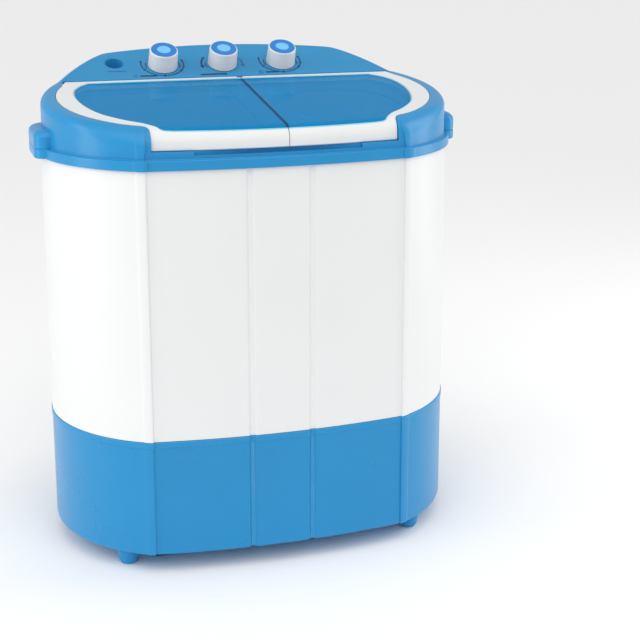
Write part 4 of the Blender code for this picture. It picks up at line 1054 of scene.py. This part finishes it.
# %% All printed marks
def make_print():
    for name in ("wash_timer", "spin_timer"):
        print_marks(f"{name}_scale", on_panel(KNOB_XS[name], KNOB_Y), timer_scale, print_ink_and_gap_shade)
    middle = on_panel(KNOB_XS["selector"], KNOB_Y)
    print_marks("selector_mark_left", middle, selector_left, print_ink_and_gap_shade)
    print_marks("selector_mark_right", middle, selector_right, faint_ink)
    bars = {"wash_timer": (-0.0365, -0.0125, -0.0252), "selector": (-0.0370, 0.0020, -0.0262),
            "spin_timer": (-0.0280, -0.0080, -0.0252)}
    for name, (x0, x1, y) in bars.items():
        print_marks(f"{name}_bar", on_panel(KNOB_XS[name], KNOB_Y),
                    lambda bm, x0=x0, x1=x1, y=y: ink_bar(bm, x0, x1, y, 0.0036), print_ink_and_gap_shade)
    print_marks("inlet_bar", on_panel(INLET_X, INLET_Y),
                lambda bm: ink_bar(bm, -0.013, 0.013, -0.0215, 0.0022), faint_ink)
    print_marks("wash_timer_icon", on_panel(KNOB_XS["wash_timer"], KNOB_Y),
                lambda bm: ink_arc(bm, (-0.0425, -0.0252), 0.0026, 0.0010, 0, 360), faint_ink)
    print_marks("spin_timer_icon", on_panel(KNOB_XS["spin_timer"], KNOB_Y),
                lambda bm: ink_arc(bm, (-0.0345, -0.0247), 0.0028, 0.0011, 20, 340), print_ink_and_gap_shade)


make_print()

# %% [markdown]
# ## Knobs
# Each knob is a white cup with a blue ring and a paler disc set into its top. One mesh with three
# materials would look the same from afar, but the fine grooves between the parts are what makes it read
# as a real knob, so body, ring and disc are three turned profiles.

# %% Knobs
KNOB_BODY = [(0, 0.0145), (0.0046, 0.0145), (0.0046, 0.0006), (0.0204, 0.0006), (0.0210, 0.0011),
             (0.0210, 0.0022), (0.0206, 0.0100), (0.0201, 0.0240), (0.0198, 0.0253), (0.0190, 0.0262),
             (0.0184, 0.0262), (0.0181, 0.0258), (0, 0.0258)]
CAP_RING = [(0.0098, 0.0259), (0.0180, 0.0259), (0.0180, 0.0268), (0.0176, 0.0273), (0.0102, 0.0273),
            (0.0098, 0.0270)]
CAP_DISC = [(0, 0.0259), (0.0097, 0.0259), (0.0097, 0.0268), (0.0088, 0.0270), (0.0050, 0.0267), (0, 0.0266)]


def make_knobs():
    for name, x in KNOB_XS.items():
        knob = turned(f"{name}_knob_body", KNOB_BODY, 96)
        ring = turned(f"{name}_cap_ring", CAP_RING, 96)
        disc = turned(f"{name}_cap_disc", CAP_DISC, 64)
        for piece in (knob, ring, disc):
            piece.matrix_world = on_panel(x, KNOB_Y)
        settle(knob, f"{name}_dial", "knob_white", f"{name}_knob")
        settle(ring, f"{name}_dial", "cap_blue", f"{name}_knob_cap")
        settle(disc, f"{name}_dial", "cap_blue", f"{name}_knob_cap", paint=cap_disc_blue)


make_knobs()

# %% [markdown]
# ## Wash tub
# The wash tub shows when the left lid is up: a deep moulding with a rounded floor and shallow ribs down
# its walls. It could be the opening extruded down, but a real tub narrows so that it leaves its mould, so
# its rings shrink towards the floor and the ribs lean with the wall.

# %% Wash tub
TUB_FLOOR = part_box("wash_tub")[0].z + 0.003
TUB_TOP = lid_plane(0.0173)
DRAIN_X, DRAIN_Y = -0.040, 0.012


def make_wash_tub():
    rings = [at(wash_opening(0.0148), TUB_FLOOR - 0.003), at(wash_opening(0.0112), TUB_FLOOR + 0.006),
             at(wash_opening(-0.0022), lid_plane(0.037)), at(wash_opening(-0.0032), TUB_TOP),
             at(wash_opening(0.0), TUB_TOP), at(wash_opening(0.0), lid_plane(0.037))]
    rings += [at(wash_opening(0.013 + 0.008 * (1 - math.cos(t))), TUB_FLOOR + 0.009 * (1 - math.sin(t)))
              for t in (math.pi / 2 * k / 5 for k in range(6))]
    tub = skin("wash_tub_shell", rings)
    bore = rod("bore", (WASH_X, WASH_Y, 0.15), (WASH_X, WASH_Y, 0.25), 0.0075)
    carve(tub, bore, rod("drain", (DRAIN_X, DRAIN_Y, 0.19), (DRAIN_X, DRAIN_Y, 0.21), 0.0065))
    ribs = []
    feet, heads = wash_opening(0.0105), wash_opening(0.0008)
    for k in range(6, len(feet) - 6, 9):
        ribs.append(rod("rib", (*feet[k], TUB_FLOOR + 0.022), (*heads[k], 0.545), 0.0026, 12))
    join(tub, *ribs)
    soften(tub, 0.0005)
    settle(tub, "casing", "tub_white", "wash_tub")


make_wash_tub()

# %% [markdown]
# ## Lint filter
# A flat filter hangs on the rear wall of the tub: a rounded frame round a sunken panel of mesh. A wire
# texture would be flat, so the wires are thin rods, which still look right up close and are few enough to
# stay light.

# %% Lint filter
def make_lint_filter():
    """The mesh is on the side that faces the water."""
    low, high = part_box("lint_filter")
    frame_piece = block("lint_filter_frame", low, high, 0.0034, 4)
    carve(frame_piece, block("sunk", (low.x + 0.005, low.y - 0.01, low.z + 0.012),
                             (high.x - 0.005, low.y + 0.0025, high.z - 0.022), 0.0018, 3))
    wires = []
    left, right, bottom, top = low.x + 0.004, high.x - 0.004, low.z + 0.011, high.z - 0.021
    for k in range(1, 10):
        x = left + (right - left) * k / 10
        wires.append(rod("wire", (x, low.y + 0.0012, bottom), (x, low.y + 0.0012, top), 0.0005, 8))
    for k in range(1, 26):
        z = bottom + (top - bottom) * k / 26
        wires.append(rod("wire", (left, low.y + 0.0016, z), (right, low.y + 0.0016, z), 0.0005, 8))
    join(frame_piece, *wires)
    settle(frame_piece, "casing", "tub_white", "lint_filter")


make_lint_filter()

# %% [markdown]
# ## Pulsator
# The pulsator is a ribbed dish that stirs the water, with small holes near its rim. Its blades could be
# scaled spheres, but real ones curve and thin out, so each is a skin over half-round sections along a
# bent line.

# %% One blade
BLADE_FOOT, BLADE_CREST = 0.2100, 0.2224


def blade(turn):
    rings = []
    for step in range(13):
        reach = 0.013 + 0.041 * step / 12
        angle = turn + 0.22 * math.sin(math.pi * step / 12 * 0.9)
        half = 0.0040 * math.sin(math.pi * (0.12 + 0.76 * step / 12)) ** 0.6
        rise = BLADE_CREST - 0.0040 * (step / 12) ** 3 - BLADE_FOOT
        out, along = Vector((math.cos(angle), math.sin(angle))), Vector((-math.sin(angle), math.cos(angle)))
        centre = Vector((WASH_X, WASH_Y)) + out * reach
        rings.append([(*(centre + along * (half * math.cos(t))), BLADE_FOOT + rise * math.sin(t))
                      for t in (math.pi * j / 10 for j in range(11))])
    return skin("fin", rings)


# %% Pulsator
def make_pulsator():
    dish = [(0.0065, 0.2243), (0.0065, 0.2205), (0.0036, 0.2205), (0.0036, 0.2065), (0.0570, 0.2065),
            (0.0594, 0.2078), (0.0598, 0.2100), (0.0588, 0.2118), (0.0560, 0.2128), (0.0420, 0.2142),
            (0.0300, 0.2160), (0.0210, 0.2192), (0.0160, 0.2228), (0.0140, 0.2243)]
    plate = turned("pulsator_plate", dish, 96, (WASH_X, WASH_Y, 0))
    fins = [blade(math.pi / 2 * k + 0.3) for k in range(4)]
    holes = []
    for k in range(24):
        angle = 2 * math.pi * k / 24
        x, y = WASH_X + 0.051 * math.cos(angle), WASH_Y + 0.051 * math.sin(angle)
        holes.append(rod("hole", (x, y, 0.20), (x, y, 0.23), 0.0016, 12))
    join(holes[0], *holes[1:])
    carve(plate, holes[0])
    join(plate, *fins)
    settle(plate, "pulsator_drive", "panel_blue", "pulsator")


make_pulsator()

# %% [markdown]
# ## Spin basket
# The spin basket is a thin shell with a raised hub and rows of upright slots that let the water out. An
# Array of slots round an empty would do it, but the rows are offset by half a step, so a loop places one
# cutter for each slot, and one Boolean takes them all out.

# %% Spin basket
SLOT_ROWS, SLOTS_AROUND = (0.310, 0.390, 0.470), 8


def make_spin_basket():
    profile = [(0, 0.2621), (0.0120, 0.2621), (0.0160, 0.2561), (0.0630, 0.2521), (0.0672, 0.2540),
               (0.0686, 0.2582), (0.0704, 0.5440), (0.0700, 0.5466), (0.0690, 0.5479), (0.0668, 0.5480),
               (0.0656, 0.5472), (0.0656, 0.5458), (0.0676, 0.5440), (0.0665, 0.2602), (0.0652, 0.2572),
               (0.0620, 0.2552), (0.0180, 0.2592), (0.0140, 0.2649), (0, 0.2649)]
    basket = turned("spin_basket_shell", profile, 96, (SPIN_X, SPIN_Y, 0))
    slots = []
    for row, z in enumerate(SLOT_ROWS):
        for k in range(SLOTS_AROUND):
            angle = 2 * math.pi * (k + 0.5 * (row % 2)) / SLOTS_AROUND
            slot = block("slot", (0.062, -0.0020, z - 0.0225), (0.074, 0.0020, z + 0.0225), 0.0018, 3)
            slot.matrix_world = Matrix.Translation((SPIN_X, SPIN_Y, 0)) @ Matrix.Rotation(angle, 4, "Z")
            slots.append(slot)
    join(slots[0], *slots[1:])
    carve(basket, slots[0])
    settle(basket, "spinner", "tub_white", "spin_basket")


make_spin_basket()

# %% [markdown]
# ## Service cover
# A grey cover on the back gives access to the motors, with louvres for their air and a screw on each
# side. The louvres could be slots, but raised hoods keep splashed water out, so each is a skin of
# flattened rings that follows the bowed wall.

# %% Louvres
SCREW_X, SCREW_Z = 0.122, 0.36


def back_slope(x):
    step = 0.001
    return Vector((bow(x) - bow(x + step), step, 0)).normalized()


def louvre(middle_x, z):
    rings = []
    for step in range(-8, 9):
        x = middle_x + 0.032 * step / 8
        thick = 0.0018 * math.sqrt(max(1 - (step / 8) ** 6, 0.04))
        centre = Vector((x, bow(x), z)) + back_slope(x) * 0.0008
        rings.append([centre + back_slope(x) * thick * math.cos(t) + Vector((0, 0, 0.0026 * math.sin(t)))
                      for t in (2 * math.pi * n / 14 for n in range(14))])
    return skin("louvre", rings)


# %% Service cover
def make_rear_cover():
    low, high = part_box("rear_cover")
    half = high.x - 0.0002
    xs = [half * k / 20 for k in range(20, -21, -1)]
    face = [Vector((x, bow(x), 0)) + back_slope(x) * 0.001 for x in reversed(xs)]
    hidden = [Vector((x, bow(x), 0)) + back_slope(x) * (GAP - 0.001) for x in xs]
    cover = skin("rear_cover_plate", [[(p.x, p.y, z) for p in hidden + face] for z in (low.z, high.z)])
    louvres = [louvre(x, low.z + 0.030 + 0.012 * k) for x in (-0.055, 0.055) for k in range(9)]
    bores = []
    for x in (-SCREW_X, SCREW_X):
        place, out = Vector((x, bow(x), SCREW_Z)), back_slope(x)
        bores.append(rod("bore", place - out * 0.008, place + out * 0.004, 0.0024))
    join(*bores)
    carve(cover, bores[0])
    join(cover, *louvres)
    soften(cover, 0.0004)
    settle(cover, "casing", "grey_plastic", "rear_cover")


make_rear_cover()

# %% [markdown]
# ## Drain outlet and cord gland
# Low on the back, the outlet has barbs that grip a hose, and the gland has ribs that let a cord bend.
# Torus rings on a tube could stand for both, but barbs are cones that face one way, so each is one turned
# profile.

# %% Drain outlet and cord gland
def make_fittings():
    outlet_low, outlet_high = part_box("drain_outlet")
    place = middle_of("drain_outlet")
    start = outlet_low.y - place.y
    barbs = [(0.0075, start), (0.0097, start), (0.0097, 0.0)]
    for k in range(3):
        z = 0.0040 + 0.0045 * k
        barbs += [(0.0098, z), (0.0084, z + 0.0042)]
    barbs += [(0.0084, outlet_high.y - place.y), (0.0075, outlet_high.y - place.y)]
    nozzle = turned("drain_outlet_nozzle", barbs, 64)
    _, gland_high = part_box("power_cord_gland")
    centre = middle_of("power_cord_gland")
    end = gland_high.y - centre.y
    ribs = [(0.0035, -end), (0.0060, -end), (0.0060, 0.0016), (0.0094, 0.0024), (0.0094, 0.0052),
            (0.0078, 0.0060)]
    ribs += [(0.0062, 0.0064), (0.0072, 0.0072), (0.0072, 0.0082), (0.0060, 0.0088), (0.0066, 0.0096),
             (0.0066, 0.0106), (0.0058, 0.0112), (0.0060, end), (0.0035, end)]
    gland = turned("power_cord_gland_body", ribs, 48)
    for piece, middle, slot, stands_for in ((nozzle, place, "grey_plastic", "drain_outlet"),
                                            (gland, centre, "black_rubber", "power_cord_gland")):
        piece.matrix_world = Matrix.Translation(middle) @ Matrix.Rotation(-math.pi / 2, 4, "X")
        settle(piece, "casing", slot, stands_for)


make_fittings()

# %% [markdown]
# ## Floor
# A studio floor is a pale sheet that fades into the surround. A curved sweep is the usual way, but its
# bend shows as a band of shade in other views, so this floor is flat and runs back far enough to fill the
# view.

# %% Floor
def make_floor():
    bm = bmesh.new()
    bmesh.ops.create_grid(bm, x_segments=1, y_segments=1, size=18.0)
    floor = keep_mesh("studio_floor", bm)
    floor.location.z = -0.0004
    paint = bpy.data.materials.new("studio floor")
    paint.use_nodes = True
    shader = paint.node_tree.nodes["Principled BSDF"]
    shader.inputs["Base Color"].default_value = (0.96, 0.96, 0.96, 1)
    shader.inputs["Roughness"].default_value = 0.8
    floor.data.materials.append(paint)


make_floor()

# %% [markdown]
# ## Light
# Two tall soft boxes at the sides light the round ends more than the front, a very broad light above
# keeps the floor evenly pale, and an even surround fills the shadows. An image of a studio could light it
# all at once, but it would need a file and give reflections that do not belong to this machine.

# %% Soft boxes
def soft_box(name, place, aim, size, power):
    light = bpy.data.lights.new(name, "AREA")
    light.shape = "RECTANGLE"
    light.size, light.size_y = size
    light.energy = power
    box = bpy.data.objects.new(name, light)
    box.location = place
    box.rotation_euler = (Vector(aim) - Vector(place)).to_track_quat("-Z", "Y").to_euler()
    bpy.context.scene.collection.objects.link(box)


soft_box("left_soft_box", (-1.9, -0.1, 0.9), (-0.1, 0, 0.35), (0.7, 1.8), 11)
soft_box("right_soft_box", (1.9, -0.1, 0.9), (0.1, 0, 0.35), (0.7, 1.8), 11)

# %% Overhead light and surround
def make_overhead():
    """A very broad overhead light, so that the floor stays evenly pale to the horizon."""
    light = bpy.data.lights.new("overhead_light", "SUN")
    light.energy = 1.45
    light.angle = math.radians(70)
    holder = bpy.data.objects.new("overhead_light", light)
    holder.rotation_euler = Vector((0.20, 0.70, -1.0)).to_track_quat("-Z", "Y").to_euler()
    bpy.context.scene.collection.objects.link(holder)


def make_surround():
    surround = bpy.data.worlds.new("studio surround")
    bpy.context.scene.world = surround
    surround.use_nodes = True
    tree = surround.node_tree
    sky = tree.nodes["Background"]
    sky.inputs["Color"].default_value = (1.0, 1.0, 1.0, 1)
    sky.inputs["Strength"].default_value = 0.52
    bpy.context.scene.view_settings.view_transform = "Standard"
    print("surround strength", sky.inputs["Strength"].default_value)


make_overhead()
make_surround()

# %% [markdown]
# ## Camera
# The machine is seen from the front left and a little above. A Track To constraint could aim the camera,
# but a constraint is one more thing that can change, so its yaw and pitch are turned into a fixed
# rotation.

# %% Camera
def make_camera():
    camera = bpy.data.cameras.new("camera")
    camera.lens, camera.sensor_width = 80.07, 36.0
    camera.shift_y = -0.10
    holder = bpy.data.objects.new("camera", camera)
    bpy.context.scene.collection.objects.link(holder)
    yaw, pitch = 0.2952, 0.2408
    ahead = Vector((math.sin(yaw) * math.cos(pitch), math.cos(yaw) * math.cos(pitch), -math.sin(pitch)))
    holder.location = (-0.4670, -1.8818, 0.8564)
    holder.rotation_euler = ahead.to_track_quat("-Z", "Y").to_euler()
    bpy.context.scene.camera = holder
    print(f"lens {camera.lens:.1f} mm, {Vector(holder.location).length:.2f} m from the machine")


make_camera()
